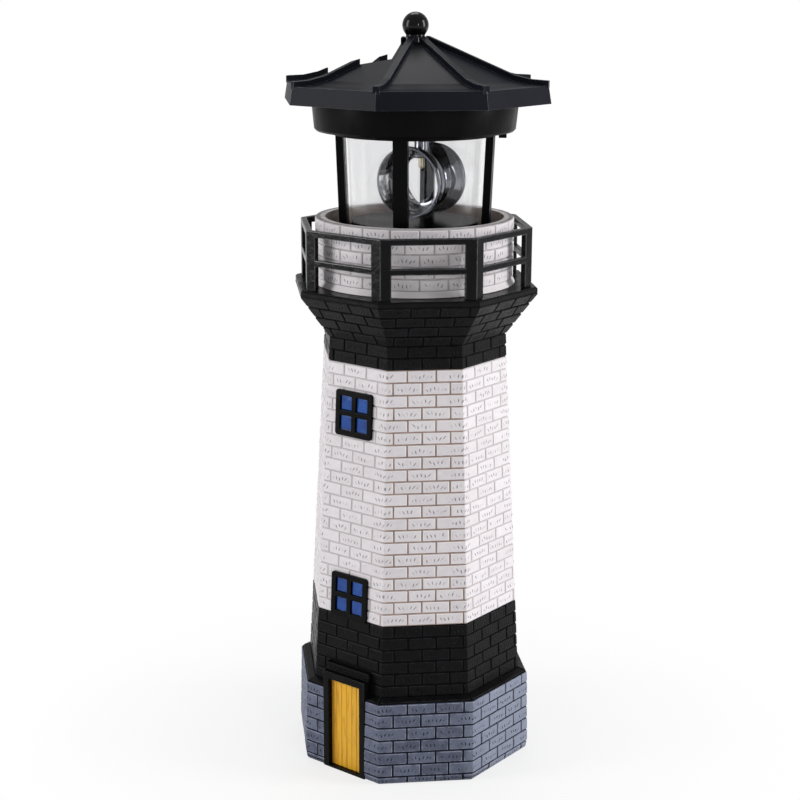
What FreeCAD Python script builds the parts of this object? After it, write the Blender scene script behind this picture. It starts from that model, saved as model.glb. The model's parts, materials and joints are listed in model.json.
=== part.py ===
"""A garden lighthouse whose lamp room holds a turning reflector, in millimetres.

The origin is the middle of the underside, +Z is up and the door faces -Y. The tower is a hollow
cast octagon. The lamp unit drops into the round wall on the gallery and lifts straight out.
"""
import FreeCAD, Part
import math
import os
import re

import Sketcher

SIZES = {
    # Tower casting: corner radii of the octagon, bottom to top
    "base_radius": 59.5,
    "ledge_radius": 53.9,
    "band_radius": 51.9,
    "shaft_radius": 45.2,
    "neck_radius": 44.6,
    "deck_radius": 60,
    # Tower casting: height of each stage, bottom to top
    "base_height": 41,
    "base_batter": 0.9,
    "ledge_height": 1.5,
    "band_height": 35.6,
    "shaft_height": 122.6,
    "neck_height": 11.3,
    "flare_height": 20.5,
    "deck_height": 2.5,
    "foot_round": 1.5,
    "deck_round": 0.8,
    "casting_wall": 5,
    # Round wall on the gallery
    "drum_radius": 46.5,
    "drum_bore": 42.2,
    "drum_height": 31,
    "seat_depth": 12,
    "plinth_radius": 48,
    "plinth_height": 3,
    # Gallery railing
    "rail_radius": 57,
    "rail_thickness": 2.8,
    "rail_height": 27.9,
    "rail_bar": 2.9,
    "rail_arm": 5.2,
    "middle_rail_rise": 11.6,
    # Windows
    "window_size": 21.9,
    "window_round": 1.6,
    "window_sunk": 1.2,
    "window_proud": 1.8,
    "window_border": 2.7,
    "window_bar": 2.5,
    "pane_proud": 0.9,
    "pane_backing": 0.8,
    "lower_window_height": 10.3,
    "window_pitch": 89,
    "upper_window_offset": -0.75,
    "lower_window_offset": -0.35,
    # Door
    "door_offset": 1.3,
    "door_width": 25.8,
    "door_height": 50,
    "door_proud": 0.3,
    "niche_depth": 4,
    "jamb_width": 3.3,
    "sill_height": 1,
    "leaf_height": 45.4,
    "leaf_thickness": 1.2,
    "plank_groove": 0.5,
    "cornice_height": 3.6,
    "cornice_overhang": 0.4,
    "cornice_proud": 2.5,
    "cornice_groove": 0.8,
    # Lamp unit foot
    "seat_clearance": 0.5,
    "flange_thickness": 2.5,
    "plug_radius": 29.7,
    "plug_height": 7.5,
    "moulding_wall": 2,
    # Clear tube
    "lantern_height": 49.7,
    "tube_foot_radius": 31.4,
    "tube_top_radius": 33.4,
    "tube_wall": 1.6,
    # Cage of four posts
    "cage_clearance": 0.6,
    "post_width": 6.7,
    "post_thickness": 3.6,
    "cage_ring_width": 4.6,
    "cage_foot_height": 3,
    "cage_top_height": 1.8,
    # Housing under the roof
    "housing_foot_radius": 47.1,
    "housing_radius": 48,
    "housing_flare": 10.4,
    "housing_height": 15.8,
    "housing_wall": 1.8,
    "housing_round": 1,
    "column_radius": 3.4,
    "column_circle": 42,
    "column_bearing": 55,
    "column_drop": 1,
    # Roof: corner radii and heights, eave to peak
    "eave_radius": 64.4,
    "eave_top_radius": 63,
    "brow_radius": 55,
    "sweep_radius": 47,
    "peak_radius": 5,
    "roof_lift": 13.4,
    "fascia_height": 8.1,
    "brow_height": 0.5,
    "sweep_height": 1.8,
    "cone_height": 17.4,
    "roof_skin": 2.2,
    "rib_width": 3,
    "rib_rise": 2.3,
    "rib_root": 1,
    "collar_wall": 1.6,
    "collar_lap": 4,
    "rim_clearance": 0.3,
    # Solar panel and the tray that holds it
    "tray_start": 5,
    "tray_end": 43,
    "tray_width": 44,
    "tray_wall": 1.8,
    "tray_drop": 1.4,
    "panel_tilt": 12,
    "panel_clearance": 0.25,
    "board_thickness": 1.6,
    "glaze_thickness": 0.8,
    "glaze_inset": 0.6,
    # Finial
    "ball_radius": 6.1,
    "ball_neck_radius": 4.4,
    "ball_rise": 7.6,
    "finial_collar_radius": 6.6,
    "finial_collar_height": 2.3,
    "finial_sunk": 1.1,
    "spindle_radius": 2.5,
    "spindle_length": 6,
    "apex_boss_radius": 4.9,
    # Turning reflector
    "beacon_offset": 3.2,
    "beacon_offset_bearing": 195.5,
    "beacon_bearing": 76,
    "beacon_drop": 23.4,
    "bowl_radius": 16.7,
    "waist_radius": 11.6,
    "bowl_length": 27,
    "bowl_wall": 1.2,
    "beacon_shaft_radius": 3.5,
    "beacon_bore": 2.3,
    "shaft_clearance": 0.06,
    # Gear train
    "gear_module": 0.6,
    "gear_lift": 0.8,
    "gear_face": 2.4,
    "gear_gap": 0.5,
    "idler_face": 2,
    "play": 0.1,
    "idler_bearing": 100,
    "pinion_bearing": 200,
    "axle_radius": 1,
    "thrust_ring_width": 1.5,
    "plate_thickness": 1.6,
    "plate_length": 39,
    "plate_width": 41,
    "plate_along": -6.5,
    "plate_across": 5.7,
    "plate_round": 4,
    "stand_radius": 2.6,
    "stand_inset": 3,
    # Motor
    "motor_radius": 10,
    "motor_length": 15,
    "motor_boss_radius": 3,
    "motor_round": 1,
    "motor_shaft_length": 7,
    # Light source
    "led_radius": 1.5,
    "led_length": 5.3,
    "led_flange": 0.4,
    "stalk_radius": 1.8,
    "stalk_flange_radius": 3.4,
    "stalk_flange_height": 1.2,
    "led_rise": 10.6,
    # Rechargeable cell and its holder
    "cell_radius": 7.25,
    "cell_length": 49.2,
    "cell_nub_radius": 2.75,
    "cell_nub_length": 1.3,
    "cell_along": 23.5,
    "holder_wall": 1.3,
    "holder_rise": 9,
    "holder_clearance": 0.2,
    "contact_thickness": 0.5,
    "contact_width": 9,
    "spring_depth": 2.6,
    # Circuit board
    "circuit_length": 26,
    "circuit_width": 17,
    "circuit_thickness": 1.2,
    "circuit_along": -5,
    "circuit_across": -24,
    "circuit_lift": 4.5,
    "chip_length": 8,
    "chip_width": 5,
    "chip_height": 1.6,
    "capacitor_radius": 3,
    "capacitor_height": 7,
    "post_inset": 3,
    # Slide switch under the housing
    "switch_circle": 41,
    "switch_bearing": 190.5,
    "switch_body_length": 10,
    "switch_body_width": 6,
    "switch_body_height": 5,
    "knob_width": 3.6,
    "knob_length": 3,
    "knob_drop": 3.2,
    "knob_flange": 0.6,
    "knob_flange_height": 1,
    "knob_clearance": 0.2,
    "knob_travel": 2,
    # Screws
    "screw_radius": 1.3,
    "screw_head_radius": 2.1,
    "screw_head_height": 1.4,
    "screw_grip": 6,
    "screw_clearance": 0.1,
}

OCTAGON = 8
POSTS = 4
PLANKS = 6
BEACON_TEETH = 40
IDLER_TEETH = 32
PINION_TEETH = 10
PRESSURE_ANGLE = 25
TOWER_TURN = "22.5"
HEAD_TURN = "202.5"
POST_TURN = 5.2
BOWL_ANGLES = (25, 45, 65, 90)

# Half the angle of one side of the octagon turns a corner radius into a side's distance
SIDE = "cos(22.5)"

# The base leans in by its batter from foot to ledge
BASE_TOP = "(base_radius - base_batter)"

# Heights on the tower
Z_LEDGE = "(base_height + ledge_height)"
Z_BAND = f"({Z_LEDGE} + band_height)"
Z_SHAFT = f"({Z_BAND} + shaft_height)"
Z_NECK = f"({Z_SHAFT} + neck_height)"
Z_FLARE = f"({Z_NECK} + flare_height)"
Z_DECK = f"({Z_FLARE} + deck_height)"
Z_DRUM = f"({Z_DECK} + drum_height)"
Z_SEAT = f"({Z_DRUM} - seat_depth)"

# Heights on the lamp unit
Z_FLANGE = f"({Z_SEAT} + flange_thickness)"
Z_HEAD = f"({Z_FLANGE} + lantern_height)"
Z_FLOOR = f"({Z_HEAD} + housing_wall)"
Z_RIM = f"({Z_HEAD} + housing_height)"
Z_COLUMN = f"({Z_RIM} - column_drop)"
Z_FASCIA = f"({Z_HEAD} + roof_lift)"
Z_EAVE = f"({Z_FASCIA} + fascia_height)"
Z_BROW = f"({Z_EAVE} + brow_height)"
Z_SWEEP = f"({Z_BROW} + sweep_height)"
Z_PEAK = f"({Z_SWEEP} + cone_height)"
Z_FINIAL = f"({Z_PEAK} - finial_sunk)"
Z_BEACON = f"({Z_HEAD} - beacon_drop)"
Z_GEAR = f"({Z_FLOOR} + gear_lift)"
Z_SECOND = f"({Z_GEAR} + gear_face + gear_gap)"
Z_PLATE = f"({Z_SECOND} + idler_face + gear_gap)"
Z_PLATE_TOP = f"({Z_PLATE} + plate_thickness)"
Z_CELL = f"({Z_FLOOR} + holder_wall + cell_radius + holder_clearance)"
Z_CIRCUIT = f"({Z_FLOOR} + circuit_lift)"

# Places in the lamp unit: along runs from its middle to the panel, across lies square to that
BEACON_ALONG = "(beacon_offset * cos(beacon_offset_bearing))"
BEACON_ACROSS = "(beacon_offset * sin(beacon_offset_bearing))"
FIRST_REACH = f"(gear_module * {(BEACON_TEETH + PINION_TEETH) / 2})"
SECOND_REACH = f"(gear_module * {(IDLER_TEETH + PINION_TEETH) / 2})"
IDLER_ALONG = f"({BEACON_ALONG} + {FIRST_REACH} * cos(idler_bearing))"
IDLER_ACROSS = f"({BEACON_ACROSS} + {FIRST_REACH} * sin(idler_bearing))"
PINION_ALONG = f"({IDLER_ALONG} + {SECOND_REACH} * cos(pinion_bearing))"
PINION_ACROSS = f"({IDLER_ACROSS} + {SECOND_REACH} * sin(pinion_bearing))"
BOLT_ALONG = "(column_circle * cos(column_bearing))"
BOLT_ACROSS = "(column_circle * sin(column_bearing))"

doc = FreeCAD.newDocument("garden_lighthouse")
sheet = doc.addObject("Spreadsheet::Sheet", "Sizes")
for row, (alias, number) in enumerate(SIZES.items(), start=1):
    sheet.set(f"A{row}", alias)
    sheet.set(f"B{row}", str(number))
    sheet.setAlias(f"B{row}", alias)
doc.recompute()

pieces = []


def formula(text):
    """The text as an expression that reads each named size from the sheet."""
    return re.sub(r"[a-z_]+", lambda word: f"Sizes.{word[0]}" if word[0] in SIZES else word[0], text)


def value(text):
    """What the text comes to, as a plain number."""
    return float(sheet.evalExpression(formula(text)))


def bind(item, **sizes):
    """Ties properties of an object to the sheet."""
    for name, text in sizes.items():
        item.setExpression(name, formula(text))
    return item


def place(item, x="0", y="0", z="0", turn="0", axis=(0, 0, 1)):
    """Ties an object's place and its turn about an axis to the sheet."""
    item.Placement = FreeCAD.Placement(FreeCAD.Vector(), FreeCAD.Rotation(FreeCAD.Vector(*axis), 1))
    for path, text in (("Base.x", x), ("Base.y", y), ("Base.z", z), ("Rotation.Angle", turn)):
        item.setExpression(f"Placement.{path}", formula(text))
    return item


def in_head(item, along="0", across="0", height="0"):
    """Seats an object's own origin in the lamp unit, turned with it."""
    return place(item, f"({along}) * cos({HEAD_TURN}) - ({across}) * sin({HEAD_TURN})",
                 f"({along}) * sin({HEAD_TURN}) + ({across}) * cos({HEAD_TURN})", height, HEAD_TURN)


def piece(item, label):
    """Names a finished sub-part."""
    item.Label = label
    pieces.append(item)
    return item


def box(name, length, width, height, x="0", y="0", z="0"):
    """A block whose underside is centred on x, y at height z."""
    block = doc.addObject("Part::Box", name)
    bind(block, Length=length, Width=width, Height=height)
    return place(block, f"{x} - ({length}) / 2", f"{y} - ({width}) / 2", z)


def rod(name, radius, height, x="0", y="0", z="0"):
    """An upright cylinder."""
    cylinder = doc.addObject("Part::Cylinder", name)
    bind(cylinder, Radius=radius, Height=height)
    return place(cylinder, x, y, z)


def octagon(name, stages):
    """A ruled loft through level octagons, each a corner radius and a height."""
    sections = []
    for step, (radius, height) in enumerate(stages):
        ring = doc.addObject("Part::RegularPolygon", f"{name}_ring_{step}")
        ring.Polygon = OCTAGON
        bind(ring, Circumradius=radius)
        sections.append(place(ring, z=height))
    loft = doc.addObject("Part::Loft", name)
    loft.Sections = sections
    loft.Solid = True
    loft.Ruled = True
    return loft


def fuse(name, *items):
    joined = doc.addObject("Part::MultiFuse", name)
    joined.Shapes = list(items)
    joined.Refine = True
    return joined


def cut(name, base, *tools):
    pared = doc.addObject("Part::Cut", name)
    pared.Base = base
    pared.Tool = tools[0] if len(tools) == 1 else fuse(f"{name}_tools", *tools)
    pared.Refine = True
    return pared


def common(name, *items):
    shared = doc.addObject("Part::MultiCommon", name)
    shared.Shapes = list(items)
    return shared


def datum(body, role):
    """One of the body's own origin planes or axes."""
    return next(part for part in body.Origin.OriginFeatures if part.Role == role)


def outline(body, plane, points):
    """A closed sketch of straight sides on the body's plane, each corner held to the sheet."""
    sketch = body.newObject("Sketcher::SketchObject", f"{body.Name}_outline")
    sketch.AttachmentSupport = (datum(body, plane), [""])
    sketch.MapMode = "FlatFace"
    corners = [FreeCAD.Vector(value(across), value(up), 0) for across, up in points]
    for index, corner in enumerate(corners):
        sketch.addGeometry(Part.LineSegment(corner, corners[(index + 1) % len(corners)]), False)
    for index in range(len(corners)):
        following = (index + 1) % len(corners)
        sketch.addConstraint(Sketcher.Constraint("Coincident", index, 2, following, 1))
    for index, (corner, texts) in enumerate(zip(corners, points)):
        for kind, number, text, axis in zip(("DistanceX", "DistanceY"), corner, texts, (-2, -1)):
            if text == "0":
                sketch.addConstraint(Sketcher.Constraint("PointOnObject", index, 1, axis))
                continue
            held = sketch.addConstraint(Sketcher.Constraint(kind, -1, 1, index, 1, number))
            sketch.setExpression(f"Constraints[{held}]", formula(text))
    return sketch


def turned(body, points, plane="XZ_Plane", axis="V_Axis"):
    """A turned solid from a half outline, given as radius and height for an upright axis."""
    sketch = outline(body, plane, points)
    solid = body.newObject("PartDesign::Revolution", f"{body.Name}_turned")
    solid.Profile = sketch
    solid.ReferenceAxis = (sketch, [axis])
    solid.Angle = 360
    return solid


def padded(body, plane, points, length, symmetric=True):
    """A straight solid with the given outline on the body's plane."""
    solid = body.newObject("PartDesign::Pad", f"{body.Name}_pad")
    solid.Profile = outline(body, plane, points)
    if symmetric:
        solid.SideType = "Symmetric"
    return bind(solid, Length=length)


def around(body, features, count, angle=360):
    """Repeats features about the body's upright axis."""
    pattern = body.newObject("PartDesign::PolarPattern", f"{body.Name}_pattern")
    pattern.Originals = features
    pattern.Axis = (datum(body, "Z_Axis"), [""])
    pattern.Angle = angle
    pattern.Occurrences = count
    body.Tip = pattern
    return pattern


def rounded(body, feature, radius, wanted):
    """Rounds the feature's straight edges that the test wants."""
    doc.recompute()
    names = [f"Edge{number}" for number, edge in enumerate(feature.Shape.Edges, start=1)
             if len(edge.Vertexes) == 2 and wanted(*(vertex.Point for vertex in edge.Vertexes))]
    fillet = body.newObject("PartDesign::Fillet", f"{body.Name}_round")
    fillet.Base = (feature, names)
    return bind(fillet, Radius=radius)


def upright(first, last):
    return abs(first.z - last.z) > 0.5 and first.sub(last).cross(FreeCAD.Vector(0, 0, 1)).Length < 0.01


def level_with_y(first, last):
    return first.sub(last).cross(FreeCAD.Vector(0, 1, 0)).Length < 0.01


def body_named(name):
    return doc.addObject("PartDesign::Body", name)


def rectangle(left, right, bottom, top):
    return [(left, bottom), (right, bottom), (right, top), (left, top)]


# ---------------------------------------------------------------- tower

SHAFT_SLOPE = "((band_radius - shaft_radius) / shaft_height)"
WALL = f"(casting_wall / {SIDE})"
Z_LOWER_WINDOW = f"({Z_BAND} + lower_window_height)"
Z_UPPER_WINDOW = f"({Z_LOWER_WINDOW} + window_pitch)"


def on_shaft(item, across, height):
    """Seats an object's local XZ plane on the door's side of the shaft, at a height."""
    face = f"(band_radius - ({height} - {Z_BAND}) * {SHAFT_SLOPE}) * {SIDE}"
    return place(item, across, f"0 - {face}", height, f"atan({SHAFT_SLOPE} * {SIDE})", (-1, 0, 0))


def casting_form():
    """The casting's outside: octagon stages and the round wall, with the niches cut in."""
    stages = octagon("casting_stages", [
        ("base_radius - foot_round", "0"),
        ("base_radius", "foot_round"),
        (BASE_TOP, "base_height"),
        ("ledge_radius", Z_LEDGE),
        ("band_radius", Z_BAND),
        ("shaft_radius", Z_SHAFT),
        ("neck_radius", Z_NECK),
        ("deck_radius", Z_FLARE),
        ("deck_radius", f"{Z_DECK} - deck_round"),
        ("deck_radius - deck_round", Z_DECK),
    ])
    place(stages, turn=TOWER_TURN)
    drum = body_named("casting_drum")
    turned(drum, [
        ("0", Z_FLARE),
        ("plinth_radius", Z_FLARE),
        ("plinth_radius", Z_DECK),
        ("drum_radius", f"{Z_DECK} + plinth_height"),
        ("drum_radius", Z_DRUM),
        ("0", Z_DRUM),
    ])
    niche_back = f"({BASE_TOP} * {SIDE} - niche_depth + foot_round)"
    niche = box("door_niche", "door_width + 2 * play", "base_radius", "door_height",
                "door_offset", f"0 - {niche_back} - base_radius / 2")
    recess_size = "window_size + 2 * play"
    recesses = []
    for name, across, height in (("lower", "lower_window_offset", Z_LOWER_WINDOW),
                                 ("upper", "upper_window_offset", Z_UPPER_WINDOW)):
        recess = body_named(f"{name}_window_recess")
        padded(recess, "XY_Plane", rectangle(f"0 - ({recess_size}) / 2", f"({recess_size}) / 2",
                                             "0 - window_size", "window_sunk"), recess_size)
        recesses.append(on_shaft(recess, across, height))
    return cut("casting_form", fuse("casting_solid", stages, drum), niche, *recesses)


def tower_casting(form):
    hollow = octagon("casting_hollow", [
        (f"{BASE_TOP} - {WALL}", "0 - casting_wall"),
        (f"ledge_radius - {WALL}", Z_LEDGE),
        (f"band_radius - {WALL}", Z_BAND),
        (f"shaft_radius - {WALL}", Z_SHAFT),
        (f"neck_radius - {WALL}", Z_NECK),
        (f"neck_radius - {WALL}", f"{Z_SEAT} + play"),
    ])
    place(hollow, turn=TOWER_TURN)
    bore = rod("drum_bore_tool", "drum_bore", "2 * seat_depth", z=Z_SEAT)
    piece(cut("tower_casting_cut", form, hollow, bore), "tower_casting")


def gallery_railing():
    """One octagonal railing: corner posts with short arms, a middle rail and a top rail."""
    inner = f"rail_radius - rail_thickness / {SIDE}"
    skins = []
    for name, radius, below in (("outside", "rail_radius", "0"), ("inside", inner, "rail_bar")):
        skin = doc.addObject("Part::Prism", f"railing_{name}")
        skin.Polygon = OCTAGON
        bind(skin, Circumradius=radius, Height=f"rail_height + 2 * {below}")
        skins.append(place(skin, z=f"{Z_DECK} - {below}", turn=TOWER_TURN))
    half = "(rail_radius * sin(22.5) - rail_arm)"
    openings = body_named("railing_openings")
    middle = f"({Z_DECK} + middle_rail_rise)"
    reach = "2 * rail_radius"
    lower = padded(openings, "YZ_Plane", rectangle(
        f"0 - {half}", half, f"{Z_DECK} - rail_bar", middle), reach, symmetric=False)
    upper = padded(openings, "YZ_Plane", rectangle(
        f"0 - {half}", half, f"{middle} + rail_bar", f"{Z_DECK} + rail_height - rail_bar"),
        reach, symmetric=False)
    around(openings, [lower, upper], OCTAGON)
    hoop = cut("railing_hoop", *skins)
    piece(cut("gallery_railing_cut", hoop, openings), "gallery_railing")


def window(name, across, height):
    """A frame with four panes; the panes are raised pads on one backing behind the frame."""
    half = "(window_size / 2)"
    pane = "((window_size - 2 * window_border - window_bar) / 2)"
    centre = f"(({pane} + window_bar) / 2)"
    frame = body_named(f"{name}_frame_blank")
    blank = padded(frame, "XY_Plane", rectangle(
        f"0 - {half}", half, "0 - window_proud", "window_sunk"), "window_size")
    rounded(frame, blank, "window_round", level_with_y)
    backing = f"({pane} * 2 + window_bar + window_border)"
    rebate = box(f"{name}_rebate", f"{backing} + 2 * play", "2 * pane_backing", f"{backing} + 2 * play",
                 "0", "window_sunk", f"0 - {backing} / 2 - play")
    plate = box(f"{name}_backing", backing, "pane_backing - play", backing,
                "0", "window_sunk - pane_backing / 2 + play / 2", f"0 - {backing} / 2")
    lights = []
    pads = []
    for side in (-1, 1):
        for level in (-1, 1):
            tag = f"{name}_{'left' if side < 0 else 'right'}_{'low' if level < 0 else 'high'}"
            lights.append(box(f"{tag}_light", pane, "4 * window_proud", pane, f"{side} * {centre}",
                              "0 - window_proud", f"{level} * {centre} - {pane} / 2"))
            shape = f"({pane} - 2 * play)"
            pads.append(box(f"{tag}_pad", shape, "pane_proud + window_sunk - play", shape,
                            f"{side} * {centre}", "(window_sunk - play - pane_proud) / 2",
                            f"{level} * {centre} - {shape} / 2"))
    framed = cut(f"{name}_frame_cut", frame, rebate, *lights)
    piece(on_shaft(framed, across, height), f"{name}_frame")
    panes = fuse(f"{name}_panes_joined", plate, *pads)
    piece(on_shaft(panes, across, height), f"{name}_panes")


def door(form):
    """A frame with a sill and a grooved cornice, let into the casting's face, and a planked leaf."""
    front = f"(base_radius * {SIDE} + door_proud)"
    surround = box("door_surround", "door_width", "base_radius / 2", "door_height",
                   "door_offset", f"0 - {front} + base_radius / 4")
    cornice_face = f"(ledge_radius * {SIDE} + cornice_proud)"
    cornice = box("door_cornice", "door_width + 2 * cornice_overhang", "ledge_radius / 2",
                  "cornice_height", "door_offset", f"0 - {cornice_face} + ledge_radius / 4", "door_height")
    groove = box("door_cornice_groove", "2 * door_width", "2 * cornice_groove", "cornice_groove",
                 "door_offset", f"0 - {cornice_face}",
                 "door_height + cornice_height / 2 - cornice_groove / 2")
    leaf_width = "(door_width - 2 * jamb_width)"
    opening = box("door_opening", leaf_width, "base_radius * 2", "leaf_height",
                  "door_offset", "0 - base_radius", "sill_height")
    blank = cut("door_frame_blank", fuse("door_surround_joined", surround, cornice), opening, groove)
    piece(cut("door_frame_cut", blank, form), "door_frame")
    niche_back = f"({BASE_TOP} * {SIDE} - niche_depth + foot_round)"
    leaf_face = f"({niche_back} + leaf_thickness)"
    leaf_size = f"({leaf_width} - 2 * play)"
    leaf = box("door_leaf_blank", leaf_size, "leaf_thickness", "leaf_height - 2 * play",
               "door_offset", f"0 - {niche_back} - leaf_thickness / 2", "sill_height + play")
    grooves = [box(f"door_groove_{board}", "plank_groove", "plank_groove", "leaf_height * 2",
                   f"door_offset + {leaf_size} * {board / PLANKS - 0.5}", f"0 - {leaf_face}")
               for board in range(1, PLANKS)]
    piece(cut("door_leaf_cut", leaf, *grooves), "door_leaf")


# ---------------------------------------------------------------- lamp unit: foot, cage and tube

POST_FOOT = "(tube_foot_radius + cage_clearance)"
POST_TOP = "(tube_top_radius + cage_clearance)"
FOOT_SCREW_CIRCLE = f"({POST_FOOT} + post_thickness / 2)"
TOP_SCREW_CIRCLE = f"({POST_TOP} + post_thickness / 2)"


def post_place(number, circle):
    """Along and across of a point at one of the cage's posts."""
    angle = POST_TURN + number * 360 / POSTS
    return f"({circle} * cos({angle}))", f"({circle} * sin({angle}))"


def lantern_base():
    """A flange that rests on the shoulder in the round wall, with a raised floor."""
    disc = body_named("lantern_disc")
    top = f"({Z_FLANGE} + plug_height)"
    rim = "drum_bore - seat_clearance"
    turned(disc, [
        ("0", f"{top} - moulding_wall"),
        ("0", top),
        ("plug_radius", top),
        ("plug_radius", Z_FLANGE),
        (rim, Z_FLANGE),
        (rim, Z_SEAT),
        ("plug_radius - moulding_wall", Z_SEAT),
        ("plug_radius - moulding_wall", f"{top} - moulding_wall"),
    ])
    holes = []
    for number in range(POSTS):
        along, across = post_place(number, FOOT_SCREW_CIRCLE)
        holes.append(rod(f"foot_hole_{number}", "screw_radius", "2 * flange_thickness",
                         along, across, Z_SEAT))
        holes.append(rod(f"foot_sink_{number}", "screw_head_radius + screw_clearance",
                         "screw_head_height + 2 * screw_clearance", along, across,
                         f"{Z_SEAT} - screw_clearance"))
    piece(place(cut("lantern_base_cut", disc, *holes), turn=HEAD_TURN), "lantern_base")


def lantern_cage():
    """Four leaning posts between a foot ring and a top ring."""
    cage = body_named("lantern_cage_body")
    post = padded(cage, "XZ_Plane", [
        (POST_FOOT, Z_FLANGE),
        (f"{POST_FOOT} + post_thickness", Z_FLANGE),
        (f"{POST_TOP} + post_thickness", Z_HEAD),
        (POST_TOP, Z_HEAD),
    ], "post_width")
    foot_inner = f"({POST_FOOT} - cage_clearance / 2)"
    top_inner = f"({POST_TOP} - cage_clearance / 2)"
    turned(cage, rectangle(foot_inner, f"{foot_inner} + cage_ring_width",
                           Z_FLANGE, f"{Z_FLANGE} + cage_foot_height"))
    turned(cage, rectangle(top_inner, f"{top_inner} + cage_ring_width",
                           f"{Z_HEAD} - cage_top_height", Z_HEAD))
    around(cage, [post], POSTS)
    place(cage, turn=str(POST_TURN))
    holes = []
    for number in range(POSTS):
        along, across = post_place(number, FOOT_SCREW_CIRCLE)
        holes.append(rod(f"post_foot_hole_{number}", "screw_radius", "screw_grip + screw_clearance",
                         along, across, Z_FLANGE))
        along, across = post_place(number, TOP_SCREW_CIRCLE)
        holes.append(rod(f"post_top_hole_{number}", "screw_radius", "screw_grip + screw_clearance",
                         along, across, f"{Z_HEAD} - screw_grip - screw_clearance"))
    piece(place(cut("lantern_cage_cut", cage, *holes), turn=HEAD_TURN), "lantern_cage")


def clear_tube():
    tube = body_named("clear_tube_body")
    turned(tube, [
        ("tube_foot_radius - tube_wall", Z_FLANGE),
        ("tube_foot_radius", Z_FLANGE),
        ("tube_top_radius", Z_HEAD),
        ("tube_top_radius - tube_wall", Z_HEAD),
    ])
    piece(tube, "clear_tube")


# ---------------------------------------------------------------- lamp unit: housing and roof

def bolt_places():
    """The four places of the columns that hold the roof."""
    return [(f"{side} * {BOLT_ALONG}", f"{flank} * {BOLT_ACROSS}") for side in (-1, 1)
            for flank in (-1, 1)]


def plate_corners():
    """The four places of the stands that carry the gear plate."""
    return [(f"(plate_along + {side} * (plate_length / 2 - stand_inset))",
             f"(plate_across + {flank} * (plate_width / 2 - stand_inset))")
            for side in (-1, 1) for flank in (-1, 1)]


def board_posts():
    """The two places of the posts under the circuit board."""
    return [(f"circuit_along + {side} * (circuit_length / 2 - post_inset)",
             f"circuit_across + {side} * (circuit_width / 2 - post_inset)") for side in (-1, 1)]


def head_housing():
    """A cup under the roof that holds the cell, the gear train and the switch."""
    cup = body_named("housing_cup")
    turned(cup, [
        ("0", Z_HEAD),
        ("housing_foot_radius - housing_round", Z_HEAD),
        ("housing_foot_radius", f"{Z_HEAD} + housing_round"),
        ("housing_radius", f"{Z_HEAD} + housing_flare"),
        ("housing_radius", Z_RIM),
        ("housing_radius - housing_wall", Z_RIM),
        ("housing_radius - housing_wall", f"{Z_HEAD} + housing_flare"),
        ("housing_foot_radius - housing_wall", f"{Z_FLOOR} + housing_round / 2"),
        ("housing_foot_radius - housing_wall - housing_round / 2", Z_FLOOR),
        ("0", Z_FLOOR),
    ])
    solids = [cup]
    holes = []
    for number, (along, across) in enumerate(bolt_places()):
        solids.append(rod(f"column_{number}", "column_radius", f"{Z_COLUMN} - {Z_HEAD}",
                          along, across, Z_HEAD))
        holes.append(rod(f"column_hole_{number}", "screw_radius", "2 * housing_height",
                         along, across, Z_HEAD))
        holes.append(rod(f"column_sink_{number}", "screw_head_radius + screw_clearance",
                         "screw_head_height + 2 * screw_clearance", along, across,
                         f"{Z_HEAD} - screw_clearance"))
    for number, (along, across) in enumerate(plate_corners()):
        solids.append(rod(f"stand_{number}", "stand_radius", f"{Z_PLATE} - {Z_HEAD}",
                          along, across, Z_HEAD))
        holes.append(rod(f"stand_hole_{number}", "screw_radius", f"{Z_PLATE} - {Z_FLOOR}",
                         along, across, f"{Z_FLOOR} + play"))
    for number, (along, across) in enumerate(board_posts()):
        solids.append(rod(f"board_post_{number}", "stand_radius", f"{Z_CIRCUIT} - {Z_HEAD}",
                          along, across, Z_HEAD))
    solids.append(rod("beacon_thrust_ring", "beacon_shaft_radius + thrust_ring_width",
                      "housing_wall + gear_lift - play", BEACON_ALONG, BEACON_ACROSS, Z_HEAD))
    solids.append(rod("idler_thrust_ring", "axle_radius + thrust_ring_width / 2",
                      "housing_wall + gear_lift - play", IDLER_ALONG, IDLER_ACROSS, Z_HEAD))
    holes.append(rod("beacon_bearing_hole", "beacon_shaft_radius + shaft_clearance",
                     "2 * housing_height", BEACON_ALONG, BEACON_ACROSS, f"{Z_HEAD} - play"))
    holes.append(rod("idler_axle_hole", "axle_radius", "housing_height",
                     IDLER_ALONG, IDLER_ACROSS, f"{Z_FLOOR} - housing_wall / 2"))
    for number in range(POSTS):
        along, across = post_place(number, TOP_SCREW_CIRCLE)
        holes.append(rod(f"cage_screw_hole_{number}", "screw_radius", "2 * housing_wall",
                         along, across, f"{Z_HEAD} - play"))
    slot = body_named("switch_slot")
    half = "(knob_width / 2 + knob_clearance)"
    padded(slot, "XY_Plane", rectangle(
        f"switch_circle - {half}", f"switch_circle + {half}",
        "0 - knob_length / 2 - knob_clearance", "knob_length / 2 + knob_travel + knob_clearance"),
        "3 * housing_wall")
    holes.append(place(slot, z=Z_HEAD, turn="switch_bearing"))
    housing = cut("head_housing_cut", fuse("housing_joined", *solids), *holes)
    piece(place(housing, turn=HEAD_TURN), "head_housing")


def panel_line(along, drop):
    """The height of a plane that lies a drop below the panel's top face."""
    edge = f"({Z_SWEEP} - tray_drop)"
    return f"({edge} + (tray_end - ({along})) * tan(panel_tilt) - ({drop}) / cos(panel_tilt))"


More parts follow.
